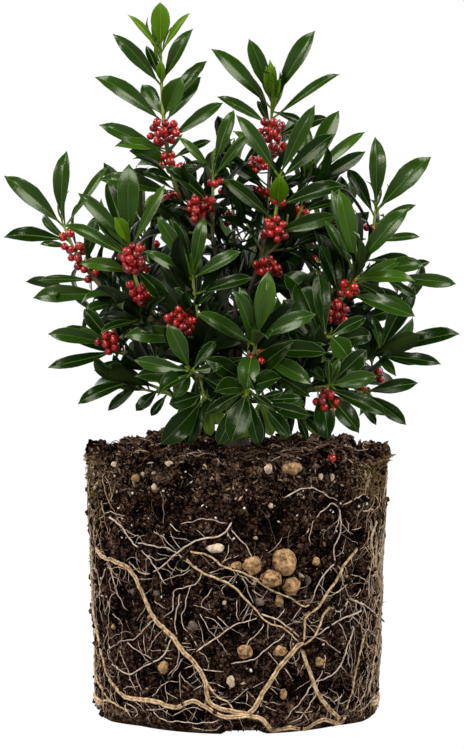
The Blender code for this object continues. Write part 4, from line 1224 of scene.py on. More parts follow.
def soil_radius(height, bearing):
    """The soil's radius at a height and a bearing in degrees: the wall's taper down to its lower edge, which is
    round in front, sharp at the sides and steps in to the foot at the back."""
    edge = wall_radius(max(height, FOOT_HEIGHT))
    off = abs((bearing + 180) % 360 - 180)
    sharp = min(max((off - SHARP_SPAN[0]) / (SHARP_SPAN[1] - SHARP_SPAN[0]), 0.0), 1.0)
    depth = edge - FOOT_RADIUS + (SHARP_EDGE - edge + FOOT_RADIUS) * sharp
    share = min(max(1 - height / (FOOT_ROUND_FRONT + (SHARP_EDGE - FOOT_ROUND_FRONT) * sharp), 0.0), 1.0)
    front = edge - depth * share**2.2
    share = min(max(1 - (height - FOOT_HEIGHT) / FOOT_ROUND, 0.0), 1.0)
    side = edge - FOOT_ROUND * (1 - math.sqrt(1 - share**2))
    if height < FOOT_HEIGHT:
        side = FOOT_RADIUS
    blend = min(max((off - FRONT_SPAN[0]) / (FRONT_SPAN[1] - FRONT_SPAN[0]), 0.0), 1.0)
    return front + (side - front) * blend


def soil_shift(point):
    """How far the soil's face stands from the plain turned form: swells on the wall, and clods on the top."""
    out = Vector((point.x, point.y, 0.0))
    on_top = min(max((point.z - BALL_HEIGHT + 2 * RIM_DROP) / RIM_DROP, 0.0), 1.0)
    off_foot = min(max((point.z - FOOT_HEIGHT) / FOOT_HEIGHT, 0.0), 1.0)
    away = min(max((out.length - SOIL_FLAT) / SOIL_FLAT, 0.0), 1.0)
    swell = WALL_SWELL * noise.noise(point * 28) * off_foot * min(1.0, out.length / FOOT_RADIUS) ** 4
    clod = CLOD_SWELL * max(0.0, noise.noise(point * 38 + UP * 3)) * on_top * away
    slope = SOIL_SLOPE * min(max(point.y / BALL_TOP_RADIUS, 0.0), 1.0) * on_top * away
    slope += SIDE_DROP * min(max((abs(point.x) - 0.095) / 0.020, 0.0), 1.0) * on_top
    return out.normalized() * swell + UP * (clod - slope)


def crumb_height(point):
    """The relief of the soil: crumbs of two sizes, a rough grain and hollows, with lumps along the rim."""
    coarse = noise.voronoi(point * 120)[0][0]
    fine = noise.voronoi(point * 310)[0][0]
    grain = noise.noise(point * 75)
    hollow = max(0.0, noise.noise(point * 42 + UP * 5) - 0.12)
    from_rim = abs(BALL_HEIGHT - point.z) + abs(BALL_TOP_RADIUS - point.xy.length)
    rim = math.exp(-((from_rim / RIM_REACH) ** 2))
    lump = noise.noise(point * 30 + UP) + 0.8 * noise.noise(point * 75) + 0.5 * noise.noise(point * 150)
    relief = 0.0046 * (0.42 - coarse) + 0.0022 * (0.40 - fine) + 0.0026 * grain - 0.0090 * hollow
    return relief + RIM_LUMP * lump * rim


def soil_place(bearing, height):
    """The point of the soil's wall at a bearing from the front, in degrees, and a height in metres."""
    angle = math.radians(bearing)
    out = Vector((math.sin(angle), -math.cos(angle), 0.0))
    point = out * soil_radius(height, bearing) + UP * height
    return point + soil_shift(point) + out * crumb_height(point), out


def top_place(x, y):
    """The point of the soil's top over a place."""
    point = Vector((x, y, BALL_HEIGHT))
    return point + soil_shift(point) + UP * crumb_height(point) * min(1.0, point.xy.length / SOIL_FLAT)


def soil_rings():
    """The rings of the soil's surface, as (radius or None on the wall, height, shares of relief up and outward)."""
    rings = [(radius, BALL_HEIGHT, 1.0, 0.0) for radius in np.linspace(0.004, BALL_TOP_RADIUS - RIM_DROP, 52)]
    for step in range(1, 6):
        turn = step / 6 * math.pi / 2
        radius = BALL_TOP_RADIUS - RIM_DROP + RIM_DROP * math.sin(turn)
        rings.append((radius, BALL_HEIGHT - RIM_DROP + RIM_DROP * math.cos(turn), math.cos(turn), math.sin(turn)))
    for height in np.linspace(BALL_HEIGHT - RIM_DROP, NOTCH_HEIGHT + 0.004, 118):
        rings.append((None, height, 0.0, 1.0))
    for height in (0.0165, NOTCH_HEIGHT + 0.0004, NOTCH_HEIGHT, 0.0125, FOOT_HEIGHT + 0.0008, FOOT_HEIGHT):
        rings.append((None, height, 0.0, 0.8))
    for height in (FOOT_HEIGHT - 0.0002, 0.0080, 0.0060, 0.0042, 0.0028, 0.0016, 0.0007, 0.0):
        rings.append((None, height, 0.0, min(0.8, height / FOOT_HEIGHT)))
    return rings + [(FOOT_RADIUS * 0.6, 0.0, 0.0, 0.0)]


SOIL, SOIL_BROWN_LIT, SOIL_BLACK_SHADE = range(3)


def soil_part():
    """The soil's own surface, fine enough to show its crumbs: black in its hollows as painted shade, and brown on its
    ridges and foot as painted light, with tones that differ at random besides.
    """
    columns = 448
    rings = soil_rings()
    points, tones = [], []
    for radius, height, up, outward in rings:
        for column in range(columns):
            angle = math.tau * column / columns
            out = Vector((math.sin(angle), -math.cos(angle), 0.0))
            here = soil_radius(height, math.degrees(angle)) if radius is None else radius
            if height <= NOTCH_HEIGHT:
                here -= max(0.0, here - FOOT_RADIUS + NOTCH_REACH) * notch_share(angle) * min(1.0, here / FOOT_RADIUS)
            point = out * here + UP * height
            lift = crumb_height(point) * min(1.0, here / SOIL_FLAT)
            # The tone rises in a band below the rim, and on the lowest part of the wall and the foot, where it is
            # painted light
            rim_band_and_lit_foot = 0.6 * (height > BALL_HEIGHT - RIM_BAND) + 1.6 * (height < FOOT_ROUND_FRONT)
            tones.append(lift / 0.0024 + 1.1 * noise.noise(point * 26) + 1.1 * noise.noise(point * 64 + UP) + rim_band_and_lit_foot)
            if height > NOTCH_HEIGHT:
                point = point + soil_shift(point)
            points.append(point + UP * lift * up + out * min(lift, RIM_OUT) * outward)
    points = np.array(points)
    points[:, 2] = np.maximum(points[:, 2], 0.0)
    row = np.arange(len(rings) - 1)[:, None] * columns
    column = np.arange(columns)[None, :]
    after = (column + 1) % columns
    faces = np.stack([row + column, row + column + columns, row + after + columns, row + after], axis=-1).reshape(-1, 4)
    tone = np.array(tones)[faces].mean(axis=1)
    kinds = np.where(tone < SHADE_TONE, SOIL_BLACK_SHADE, np.where(tone > LIT_TONE, SOIL_BROWN_LIT, SOIL))
    low = (len(rings) - 1) * columns
    half = np.arange(0, columns, 2)
    points = np.concatenate([points, [points[:columns].mean(axis=0), (0.0, 0.0, 0.0)]])
    top = np.stack([np.full(len(half), len(points) - 2), half, half + 1, (half + 2) % columns], axis=-1)
    bottom = np.stack([np.full(len(half), len(points) - 1), low + (half + 2) % columns, low + half + 1, low + half], -1)
    kinds = np.concatenate([kinds, np.zeros(2 * len(half), int)])
    return points, np.concatenate([faces, top, bottom]), kinds


def notch_share(angle):
    """How far the foot is cut back at this angle by the mark of one of the pot's drain holes."""
    share = 0.0
    for bearing in NOTCH_BEARINGS:
        off = abs((angle - math.radians(bearing) + math.pi) % math.tau - math.pi) * FOOT_RADIUS
        share = max(share, min(max((NOTCH_WIDTH / 2 - off) / 0.004 + 0.5, 0.0), 1.0))
    return share


class Root(NamedTuple):
    """Roots of one thickness on the ball's wall: their radius in mm, in how many strands, and of which colour."""

    radius: float
    strands: int
    kind: int
    routes: str


WHEAT, CREAM, BROWN, STRAND_SHADOW = range(4)

# The roots that show in the photograph: the pixels that each one passes, as x,y, with a stroke between roots
SEEN_ROOTS = (
    Root(1.12, 2, WHEAT, """
        97,549 106,557 118,562 128,568 138,580 144,595 151,611 161,625 174,637 183,651 196,663 205,680 209,700 218,708
        233,711 248,714 /
        110,678 119,690 130,698 151,700 176,707 193,701 205,706 221,716 246,716 262,719 271,730 288,727 303,729
        320,720 338,723 344,716
        """),
    Root(1.2, 2, WHEAT, "303,641 291,652 280,666 271,679 263,692 256,705 248,714"),
    Root(1.0, 2, WHEAT, "302,650 309,673 319,697 331,711 338,720"),
    Root(1.25, 1, WHEAT, """
        357,548 345,563 336,578 326,593 317,607 306,617 304,628 303,642 / 329,607 322,616 314,636 303,645 /
        92,570 94,597 99,636 104,658 110,678
        """),
    Root(0.95, 1, WHEAT, """
        205,680 216,695 228,702 234,711 / 104,700 115,702 129,712 / 93,650 98,676 110,699 / 94,549 90,566 92,588 /
        186,558 201,572 219,579 236,589 251,605 266,621 284,629 301,644 /
        190,551 210,556 225,567 251,576 267,588 288,597 302,606 310,604 /
        363,634 357,662 351,690 345,710 / 376,625 373,652 369,685 366,697 / 377,540 374,566 379,592
        """),
    Root(0.72, 1, CREAM, """
        232,522 223,534 202,539 186,546 173,557 160,568 146,574 128,561 /
        110,516 124,527 134,543 149,556 158,570 166,585 / 335,563 321,577 310,603 /
        340,508 340,533 334,549 335,563 / 353,626 346,646 334,672 313,682 /
        172,638 163,657 146,665 130,674 113,663 / 196,652 213,640 235,625 258,618 /
        376,520 370,540 374,565 371,578 / 361,610 336,621 315,636 / 261,614 281,622 300,638 /
        347,598 361,605 365,620 / 347,598 367,608 378,623
        """),
    Root(0.56, 1, CREAM, """
        137,543 159,546 177,553 194,567 / 284,498 304,487 322,493 339,501 / 309,528 300,538 / 340,515 334,536 /
        340,508 330,504 315,518 308,535 310,546 / 344,505 360,495 370,499 / 177,641 179,663 167,676 /
        153,620 139,636 119,643 110,650 111,661 / 127,642 143,653 153,660 / 183,658 171,678 /
        191,585 185,606 182,621 198,647 / 202,570 198,583 176,590 173,608 163,618 / 180,593 176,616 177,641 /
        313,682 300,700 284,721 / 316,693 303,713 287,724 / 325,655 322,670 315,682 / 352,580 326,597 /
        347,598 343,613 / 127,702 139,711 136,718 / 126,703 134,719 / 173,716 190,707 203,711 /
        153,711 169,721 188,722 209,723 220,720 / 192,727 211,731 222,725 / 231,664 250,660 268,648 285,633 /
        108,568 98,598 / 109,560 119,593 127,611 / 329,607 340,611 347,598 / 362,511 373,509 / 169,523 180,532
        """),
    Root(0.42, 1, CREAM, """
        99,519 112,512 126,516 / 103,500 106,515 / 153,531 167,540 176,551 / 180,524 202,519 228,523 /
        155,560 167,558 / 163,581 180,575 192,569 / 154,601 166,609 / 115,593 105,612 / 144,632 147,658 /
        162,631 146,653 / 165,651 173,650 / 164,658 175,659 / 181,643 191,644 / 186,650 197,649 / 196,664 184,669 /
        198,671 187,679 / 200,678 191,684 / 203,685 193,690 / 180,674 194,688 / 120,646 128,670 137,692 /
        122,689 139,686 / 165,691 179,699 / 152,697 168,682 179,682 / 180,672 181,699 / 146,710 170,707 /
        168,709 166,716 / 150,714 152,725 / 196,711 191,721 / 199,613 213,634 229,655 / 217,616 230,628 /
        250,605 242,620 / 237,600 236,613 240,622 / 258,618 262,627 243,649 240,656 / 208,573 225,568 /
        236,575 222,588 224,596 / 241,575 254,604 / 252,590 265,599 / 212,588 202,605 213,610 / 221,562 240,555 /
        231,529 243,543 253,558 / 203,669 224,672 / 216,683 225,688 / 268,652 280,669 / 230,703 247,690 266,680 /
        262,701 282,705 / 264,706 277,711 / 247,691 246,705 / 270,688 278,695 / 284,668 292,679 /
        303,713 308,724 / 294,712 313,711 / 320,705 317,712 / 322,694 336,705 / 333,702 342,694 /
        316,637 340,653 / 338,622 346,642 / 365,642 372,654 / 366,629 377,641 / 351,616 365,632 /
        338,565 347,598 / 350,574 367,582 / 360,588 354,597 / 347,520 348,533 / 352,530 361,526 /
        375,694 357,712 / 365,692 351,712 / 302,606 291,621 / 285,609 275,620 / 293,621 303,622
        """),
)

TAN, GREY, PALE = range(3)

# Stones that show in the photograph, as (x, y, width, height, kind), in pixels
SEEN_STONES = (
    (285, 562, 23, 25, TAN), (253, 565, 19, 19, TAN), (271, 578, 22, 18, TAN), (292, 586, 17, 20, TAN),
    (237, 566, 12, 9, TAN), (216, 548, 17, 9, PALE), (254, 582, 7, 7, PALE), (280, 602, 10, 14, TAN),
    (260, 602, 9, 9, GREY), (316, 561, 9, 9, TAN), (309, 581, 7, 9, GREY), (245, 652, 16, 15, TAN),
    (280, 651, 14, 11, TAN), (163, 667, 12, 14, TAN), (231, 682, 9, 13, PALE), (284, 695, 8, 13, TAN),
    (319, 662, 9, 9, TAN), (112, 627, 6, 6, TAN), (147, 618, 5, 5, TAN), (132, 592, 5, 7, GREY),
    (156, 593, 7, 7, GREY), (192, 627, 11, 11, GREY), (291, 469, 23, 15, TAN), (268, 456, 8, 10, PALE),
    (135, 478, 10, 8, TAN), (154, 487, 6, 8, PALE), (114, 463, 9, 6, PALE), (322, 477, 5, 7, PALE),
    (336, 478, 5, 8, PALE), (271, 506, 5, 6, PALE), (317, 461, 8, 8, GREY), (141, 474, 5, 4, PALE),
    (224, 603, 5, 6, PALE), (256, 538, 5, 5, PALE), (167, 448, 8, 6, PALE),
)

# Clods that stand on the soil near its rim, as (x, y, radius) in mm
CLODS = (
    (-133, -8, 7), (-126, 14, 6), (-66, 4, 7), (-55, -2, 8), (-47, 10, 6), (97, 2, 7), (104, 22, 6), (128, -12, 6),
    (60, 30, 5), (118, 60, 7), (-92, 84, 7), (-20, 126, 8), (44, 118, 6), (-118, -62, 6), (-12, -96, 5), (76, -92, 6),
)

# The berry that lies on the soil, as (x, y) in mm
FALLEN_BERRY = (86, -102)

# Mossy, fibrous patches on the wall, as (bearing and its spread, height in mm and its spread, count)
MOSS_PATCHES = ((74, 13, 230, 16, 2600), (-76, 12, 222, 22, 1300), (140, 18, 225, 16, 900))

PIXEL = 0.00090  # what one pixel spans at the front of the ball, in metres
WALL_SPAN = 2.4  # mm of wall for each degree of bearing
DOWN = -math.pi / 2
ROOT_LAY = 0.0012
ROOT_STEP = 2.6
STRAND_GAP = 1.85
LOWEST_ROOT = 3.0
HIGHEST_ROOT = 244.0


def seen_on_wall(x, y):
    """The bearing in degrees and the height in mm of the wall where this pixel of the photograph shows it."""
    depth = -BALL_LOW_RADIUS
    for _ in range(12):
        point = seen_at(x, y, depth)
        bearing = math.degrees(math.atan2(point.x, -depth))
        radius = soil_radius(max(point.z, 0.0), bearing)
        depth = (depth - math.sqrt(radius**2 - min(abs(point.x), radius * 0.998) ** 2)) / 2
    return bearing, point.z / MM


def root_place(bearing, height):
    """Where a root lies at a bearing and a height in mm."""
    height = min(max(height, LOWEST_ROOT), HIGHEST_ROOT) * MM
    angle = math.radians(bearing)
    out = Vector((math.sin(angle), -math.cos(angle), 0.0))
    point = out * soil_radius(height, bearing) + UP * height
    return point + soil_shift(point) + out * ROOT_LAY, out


def even_route(route, step):
    """Points at even steps, in mm, along the smooth curve through a route over the wall."""
    line = smooth_route(route, 6)
    flat = line * (WALL_SPAN, 1)
    gone = np.concatenate([[0], np.cumsum(np.linalg.norm(np.diff(flat, axis=0), axis=1))])
    at = np.linspace(0, gone[-1], max(4, int(gone[-1] / step) + 1))
    return np.stack([np.interp(at, gone, line[:, 0]), np.interp(at, gone, line[:, 1])], axis=-1)


def wobble(chance, count, step, reach):
    """How far a root sways off its route at each point; reach is 1 for a thin root, and less for a stiff one."""
    sway = np.zeros(count)
    for wave, size in ((31, 0.75), (13, 0.42), (6.5, 0.20)):
        sway += size * np.sin(np.arange(count) * step / wave * math.tau + chance.uniform(0, math.tau))
    ends = np.minimum(np.arange(count), np.arange(count)[::-1]) / 4
    return sway * np.minimum(ends, 1) * MM * reach


def root_tubes(chance, route, radius, kind=0, strands=1, sides=4, step=ROOT_STEP):
    """A root along the wall, whose ends dive into the soil: one tube, or strands side by side with a thin dark tube
    between them as a painted shadow.
    """
    route = even_route(route, step)
    count = len(route)
    places = [root_place(bearing, height) for bearing, height in route]
    points = np.array([place for place, _ in places])
    outs = np.array([out for _, out in places])
    ways = np.gradient(points, axis=0)
    across = np.cross(outs, ways / (np.linalg.norm(ways, axis=1, keepdims=True) + 1e-9))
    sway = wobble(chance, count, step, 1.0 if radius < 0.0007 else 0.45)
    taper = 1 + 0.03 * chance.normal(size=count) + 0.10 * np.sin(np.arange(count) * step / 21 + chance.uniform(0, 6))
    if strands == 1:
        taper *= np.linspace(1.12, 0.72, count)
    taper[[0, -1]] *= 0.45
    rise = np.full(count, 0.35 * radius) + 0.0003 * chance.normal(size=count)
    rise[[0, -1]] = -1.6 * radius - ROOT_LAY
    turn = 0.3 * np.sin(np.arange(count) * step / 18 + chance.uniform(0, math.tau))
    parts = []
    for strand in range(strands):
        place = (strand - (strands - 1) / 2) * STRAND_GAP * radius
        off = across * (place * np.cos(turn) + sway)[:, None] + outs * (place * np.sin(turn) + rise)[:, None]
        parts.append(tube(points + off, radius * taper, sides, kind))
    # A thin dark tube sunk between the strands: a painted shadow in the groove between them
    if strands > 1:
        off = across * sway[:, None] + outs * (rise + 0.28 * radius)[:, None]
        parts.append(tube(points + off, np.full(count, 0.30 * radius), 4, STRAND_SHADOW))
    return parts


def wander(chance, start, turn, length, curl=0.32, fall=0.06, step=6.0):
    """A route that wanders over the wall, as bearings and heights in mm: it turns by chance, and a little down."""
    bearing, height = start
    route = [start]
    bend_by = chance.normal(0, curl)
    while length > 0:
        bend_by = 0.6 * bend_by + chance.normal(0, curl) * 0.7
        turn += bend_by + fall * math.sin(DOWN - turn)
        bearing += step * math.cos(turn) / WALL_SPAN
        height += step * math.sin(turn)
        length -= step
        if not 4 < height < 240:
            break
        route.append((bearing, height))
    return route


def side_roots(chance, route, spacing, shortest, longest):
    """Routes of the thinner roots that leave a root on both sides."""
    line = even_route(route, 1.0)
    flat = line * (WALL_SPAN, 1)
    found = []
    at = chance.uniform(2, spacing)
    while at < len(line) - 3:
        index = max(1, int(at))
        way = flat[index] - flat[index - 1]
        turn = math.atan2(way[1], way[0]) + chance.choice((-1, 1)) * chance.uniform(0.7, 1.4)
        found.append(wander(chance, tuple(line[index]), turn, chance.uniform(shortest, longest), 0.30, 0.05, 4.0))
        at += chance.uniform(0.5, 1.5) * spacing
    return [found_route for found_route in found if len(found_route) > 2]


def unseen_roots(chance):
    """Thick roots at the sides and the back, and the one that circled the pot's floor behind the front."""
    routes = []
    for index in range(20):
        start = (96 + 168 * (index + chance.random()) / 20, chance.uniform(110, 225))
        route = wander(chance, start, DOWN + chance.uniform(-0.9, 0.9), chance.uniform(90, 190), 0.13, 0.20, 8.0)
        routes.append((chance.uniform(0.5, 1.2), 2 if chance.random() < 0.3 else 1, route))
    ring = [(72 + 216 * step / 22, 15 + 6 * noise.noise(Vector((step * 0.5, 2.0, 0.0)))) for step in range(23)]
    return routes + [(1.5, 2, ring)]


def fine_roots(chance):
    """The fine roots that no line of the photograph's roots gives, as (radius, route, kind)."""
    fine = []
    for _ in range(150):
        start = (chance.uniform(-80, 80), 14 + 190 * chance.random() ** 1.2)
        route = wander(chance, start, chance.uniform(0, math.tau), chance.uniform(14, 44), 0.26, 0.05, 4.0)
        fine.append((chance.uniform(0.14, 0.24), route, int(chance.choice((CREAM, BROWN, BROWN)))))
    for _ in range(300):
        start = (chance.uniform(75, 285), 14 + 195 * chance.random() ** 1.2)
        route = wander(chance, start, chance.uniform(0, math.tau), chance.uniform(20, 70), 0.26, 0.06, 5.0)
        fine.append((chance.uniform(0.25, 0.50), route, int(chance.choice((CREAM, CREAM, BROWN)))))
    for _ in range(270):
        start = (chance.choice((-1, 1, 1)) * chance.uniform(58, 100), chance.uniform(20, 235))
        route = wander(chance, start, DOWN + chance.normal(0, 0.9), chance.uniform(14, 60), 0.28, 0.08, 4.0)
        fine.append((chance.uniform(0.16, 0.36), route, int(chance.choice((CREAM, WHEAT, WHEAT, BROWN)))))
    return fine


def grow_roots(chance, root_materials):
    """All the roots of the wall: the thick ones, and the fine ones in a left and a right piece."""
    thick, fine = [], []
    for root in SEEN_ROOTS:
        for pixels in root.routes.split("/"):
            route = [seen_on_wall(*map(float, pixel.split(","))) for pixel in pixels.split()]
            if root.radius > 0.9:
                thick += root_tubes(chance, route, root.radius * MM, root.kind, root.strands, 8, 2.0)
            else:
                fine.append((root.radius, route, root.kind))
            if root.radius > 0.7:
                for side in side_roots(chance, route, 15, 8, 24):
                    fine.append((chance.uniform(0.18, 0.34), side, CREAM))
    for radius, strands, route in unseen_roots(chance):
        thick += root_tubes(chance, route, radius * MM, WHEAT, strands, 8, 3.0)
        for side in side_roots(chance, route, 11, 12, 45):
            fine.append((chance.uniform(0.25, 0.55), side, int(chance.choice((CREAM, CREAM, BROWN)))))
    add_piece("thick_roots", thick, root_materials)
    fine += fine_roots(chance)
    for name, side in (("fine_roots_left", -1), ("fine_roots_right", 1)):
        parts = []
        for radius, route, kind in fine:
            if len(route) > 1 and math.sin(math.radians(route[0][0])) * side > 0:
                parts += root_tubes(chance, route, radius * MM, kind, sides=6 if radius > 0.6 else 4)
        add_piece(name, parts, root_materials)


def top_roots(chance, root_materials):
    """Thin roots that cross the top of the soil in low arches."""
    parts = []
    for _ in range(90):
        x, y = place_on_top(chance, 0.15)
        turn = chance.uniform(0, math.tau)
        route = []
        for _ in range(int(chance.integers(4, 9))):
            route.append(np.array(top_place(x, y)) + (0.0, 0.0, chance.uniform(0.0, 0.0030)))
            turn += chance.normal(0, 0.5)
            x += 0.0075 * math.cos(turn)
            y += 0.0075 * math.sin(turn)
            if math.hypot(x, y) > BALL_TOP_RADIUS - 0.003:
                break
        if len(route) > 2:
            line = smooth_route(route, 4)
            radii = chance.uniform(0.3, 0.8) * MM * np.linspace(1, 0.5, len(line))
            parts.append(tube(line, radii, 6, int(chance.choice((0, 1, 2, 2)))))
    add_piece("top_roots", parts, root_materials)


def rough_ball(chance, template, rough):
    """A round template with flat sides, lumps and small pits."""
    seed = Vector(chance.uniform(-9, 9, 3))
    form = template[0].copy()
    for index, corner in enumerate(template[0]):
        place = Vector(corner)
        swell = noise.noise(place * 1.2 + seed)
        lump = 0.5 - noise.voronoi(place * 1.7 + seed)[0][0]
        pit = noise.noise(place * 6.5 + seed)
        form[index] = corner * (1 + rough * (swell + 0.9 * lump + 0.24 * pit))
    return form


def stone_parts(chance):
    """The stones that show, then others round the back, each half sunk in the soil."""
    template = {False: ball(3), True: ball(4)}
    shapes = []
    for x, y, width, height, kind in SEEN_STONES:
        shapes.append((*seen_on_wall(x, y), width, height, kind))
    for _ in range(16):
        width, height = chance.uniform(5, 17, 2)
        shapes.append((chance.uniform(102, 258), chance.uniform(25, 235), width, (width + height) / 2, chance.integers(3)))
    parts = []
    for bearing, height_at, width, height, kind in shapes:
        place, out = soil_place(bearing, min(height_at * MM, BALL_HEIGHT - RIM_DROP))
        side = UP.cross(out)
        form = rough_ball(chance, template[height > 9], 0.24) * (width / 2, min(width, height) / 2, height / 2) * PIXEL
        form = form @ np.array((side, out, UP))
        sunk = place - out * min(width, height) * PIXEL * 0.08
        parts.append((form + np.array(sunk), template[height > 9][1], int(kind)))
    return parts


def clod_parts(chance):
    template = ball(3)
    parts = []
    for x, y, radius in CLODS:
        form = rough_ball(chance, template, 0.7) * radius * MM
        place = top_place(x * MM, y * MM)
        parts.append((form + np.array(place + UP * radius * MM * 0.15), template[1], int(chance.integers(0, 3))))
    return parts


def place_on_top(chance, least=0.02):
    """A place on the soil's top, at random."""
    radius = math.sqrt(chance.uniform(least, 1.0)) * (BALL_TOP_RADIUS - 0.002)
    turn = chance.uniform(0, math.tau)
    return radius * math.cos(turn), radius * math.sin(turn)


def wall_scatter(chance, count, low, high, left=-180, right=180):
    return [np.array(soil_place(chance.uniform(left, right), chance.uniform(low, high))[0]) for _ in range(count)]


def top_scatter(chance, count, least=0.02):
    return [np.array(top_place(*place_on_top(chance, least))) for _ in range(count)]


def soil_litter(chance, soil, perlite, bark, moss):
    """What is loose in the soil: crumbs, bark chips, fibres, perlite and tufts of moss."""
    low, high = 0.004, BALL_HEIGHT - RIM_DROP
    round_form, grain = ball(1), octahedron()

    def litter(name, centres, least, spread, shape, roughness, kinds, materials):
        form = (shape[0][0] * shape[1], shape[0][1])
        sizes = least + spread * chance.random(len(centres)) ** 1.8
        part = scatter(chance, centres, sizes, form, roughness, chance.choice(kinds, len(centres)))
        add_piece(name, [part], materials)

    centres = wall_scatter(chance, 1500, low, high) + top_scatter(chance, 330) + top_scatter(chance, 260, 0.84)
    litter("crumbs", centres, 0.0014, 0.0030, (round_form, (1, 1, 1)), 0.13, (0, 0, 1, 2), soil)
    centres = wall_scatter(chance, 15000, low, high) + top_scatter(chance, 2600) + top_scatter(chance, 1200, 0.84)
    centres = [centre for centre in centres if noise.noise(Vector(centre) * CLUMPS) > LEAST_CLUMP]
    litter("grains", centres, 0.0006, 0.0011, (grain, (1, 1, 1)), 0.18, (0, 0, 1, 1, 2), soil)
    centres = wall_scatter(chance, 200, low, high) + top_scatter(chance, 260, 0.1)
    centres += wall_scatter(chance, 520, high - 0.028, high) + top_scatter(chance, 220, 0.84)
    litter("bark_chips", centres, 0.0009, 0.0026, (round_form, (0.30, 0.55, 1.50)), 0.10, (0, 0, 0, 1, 1, 2), bark)
    centres = wall_scatter(chance, 1100, high - 0.030, high) + top_scatter(chance, 900, 0.1)
    centres += wall_scatter(chance, 700, low + 0.006, high)
    litter("fibres", centres, 0.0015, 0.0026, (grain, (0.12, 0.12, 1.8)), 0.02, (0, 0, 1, 2), bark)
    centres = wall_scatter(chance, 190, low, high) + wall_scatter(chance, 110, 0.170, high)
    centres += top_scatter(chance, 70)
    litter("perlite", centres, 0.0005, 0.0014, (round_form, (0.6, 0.8, 1.15)), 0.14, (0,), [perlite])
    centres = []
    for bearing, off, middle, rise, count in MOSS_PATCHES:
        for _ in range(count):
            height = min(chance.normal(middle, rise) * MM, high)
            centres.append(np.array(soil_place(chance.normal(bearing, off), height)[0]))
    litter("moss", centres, 0.0008, 0.0013, (grain, (0.28, 0.28, 1.5)), 0.15, (0, 0, 1), moss)


CLUMPS = 60
LEAST_CLUMP = -0.05


def octahedron():
    points = np.array([(1, 0, 0), (0, 1, 0), (-1, 0, 0), (0, -1, 0), (0, 0, 1), (0, 0, -1)], float)
    faces = [(a, (a + 1) % 4, 4) for a in range(4)] + [((a + 1) % 4, a, 5) for a in range(4)]
    return points, np.array(faces)


def fallen_berry(materials):
    """The berry that lies on the soil near the rim."""
    points, faces = BERRY_FORM
    x, y = FALLEN_BERRY
    centre = top_place(x * MM, y * MM) + UP * BERRY_RADIUS * 0.7
    add_piece("fallen_berry", [(points * BERRY_RADIUS * 1.05 + np.array(centre), faces, BERRY_SLOTS)], materials)


def root_ball():
    chance = np.random.default_rng(11)
    # The black and brown soils are tones of the loose crumbs, and on the ball's wall also painted shade in the hollows
    # and painted light on the ridges and the foot
    soil = [
        soil_material("soil", (0.0024, 0.0008, 0.0003), (0.080, 0.044, 0.029), 300.0),
        soil_material("soil_brown_and_lit", (0.010, 0.004, 0.002), (0.215, 0.132, 0.086), 300.0),
        soil_material("soil_black_and_shade", (0.0008, 0.0004, 0.0003), (0.016, 0.010, 0.008), 300.0),
    ]
    perlite = earth_material("perlite", (0.60, 0.54, 0.45), (0.90, 0.87, 0.80), 500.0, 0.8, 0.3)
    bark = [
        earth_material("chip_brown", (0.060, 0.033, 0.019), (0.20, 0.120, 0.070), 300.0),
        earth_material("chip_tan", (0.22, 0.14, 0.08), (0.56, 0.41, 0.27), 300.0),
        earth_material("chip_grey", (0.055, 0.045, 0.036), (0.17, 0.13, 0.105), 300.0),
    ]
    moss = [
        earth_material("moss_gold", (0.110, 0.060, 0.016), (0.42, 0.27, 0.095), 400.0),
        earth_material("moss_olive", (0.055, 0.046, 0.012), (0.19, 0.16, 0.045), 400.0),
    ]
    stone = [
        earth_material("stone_tan", (0.070, 0.028, 0.007), (0.60, 0.36, 0.165), 230.0, 0.85, 1.0),
        earth_material("stone_grey", (0.050, 0.035, 0.026), (0.20, 0.145, 0.105), 260.0, 0.85, 0.8),
        earth_material("stone_pale", (0.28, 0.18, 0.10), (0.74, 0.60, 0.44), 260.0, 0.85, 0.6),
    ]
    root = [
        earth_material("root_wheat", (0.17, 0.082, 0.032), (0.78, 0.56, 0.325), 260.0, 0.8, 0.5),
        earth_material("root_cream", (0.30, 0.20, 0.135), (0.74, 0.60, 0.47), 200.0, 0.85, 0.2),
        earth_material("root_brown", (0.07, 0.040, 0.022), (0.24, 0.155, 0.095), 200.0, 0.85, 0.2),
        # A dark brown that paints the shadow between the strands of a root
        earth_material("root_strand_shadow", (0.030, 0.014, 0.006), (0.10, 0.055, 0.028), 200.0, 0.95, 0.2),
    ]
    add_piece("soil_ball", [soil_part()], soil, ["root_ball"])
    soil_litter(chance, soil, perlite, bark, moss)
    add_piece("clods", clod_parts(chance), soil)
    add_piece("stones", stone_parts(chance), stone)
    grow_roots(chance, root)
    top_roots(chance, root)
    fallen_berry([bpy.data.materials[f"{part}_red"] for part in ("berry", "calyx")])


# Stage, lights and camera

AMBIENT = 0.04
FLOOR_SEEN = 0.93
FLOOR_GLOW = 1.06

# Soft suns, as (name, the way they come from, strength, width in degrees)
SUNS = (
    ("key", (-0.9, -0.55, 1.0), 3.2, 36),
    ("right", (1.0, -0.45, 0.8), 2.9, 36),
    ("front", (-0.25, -1.0, 0.16), 0.8, 7),
    ("back_left", (-0.6, 1.0, 0.5), 2.0, 50),
    ("back_right", (0.8, 1.0, 0.5), 1.8, 50),
)


def seen_glow(tree, unseen, seen, output, share):
    """Straight from the camera a share of the seen shader shows, and the unseen one is what lights the plant."""
    ray = tree.nodes.new("ShaderNodeLightPath")
    part = tree.nodes.new("ShaderNodeMath")
    part.operation = "MULTIPLY"
    part.inputs[1].default_value = share
    choice = tree.nodes.new("ShaderNodeMixShader")
    tree.links.new(ray.outputs["Is Camera Ray"], part.inputs[0])
    tree.links.new(part.outputs["Value"], choice.inputs["Fac"])
    tree.links.new(unseen, choice.inputs[1])
    tree.links.new(seen, choice.inputs[2])
    tree.links.new(choice.outputs["Shader"], tree.nodes[output].inputs["Surface"])


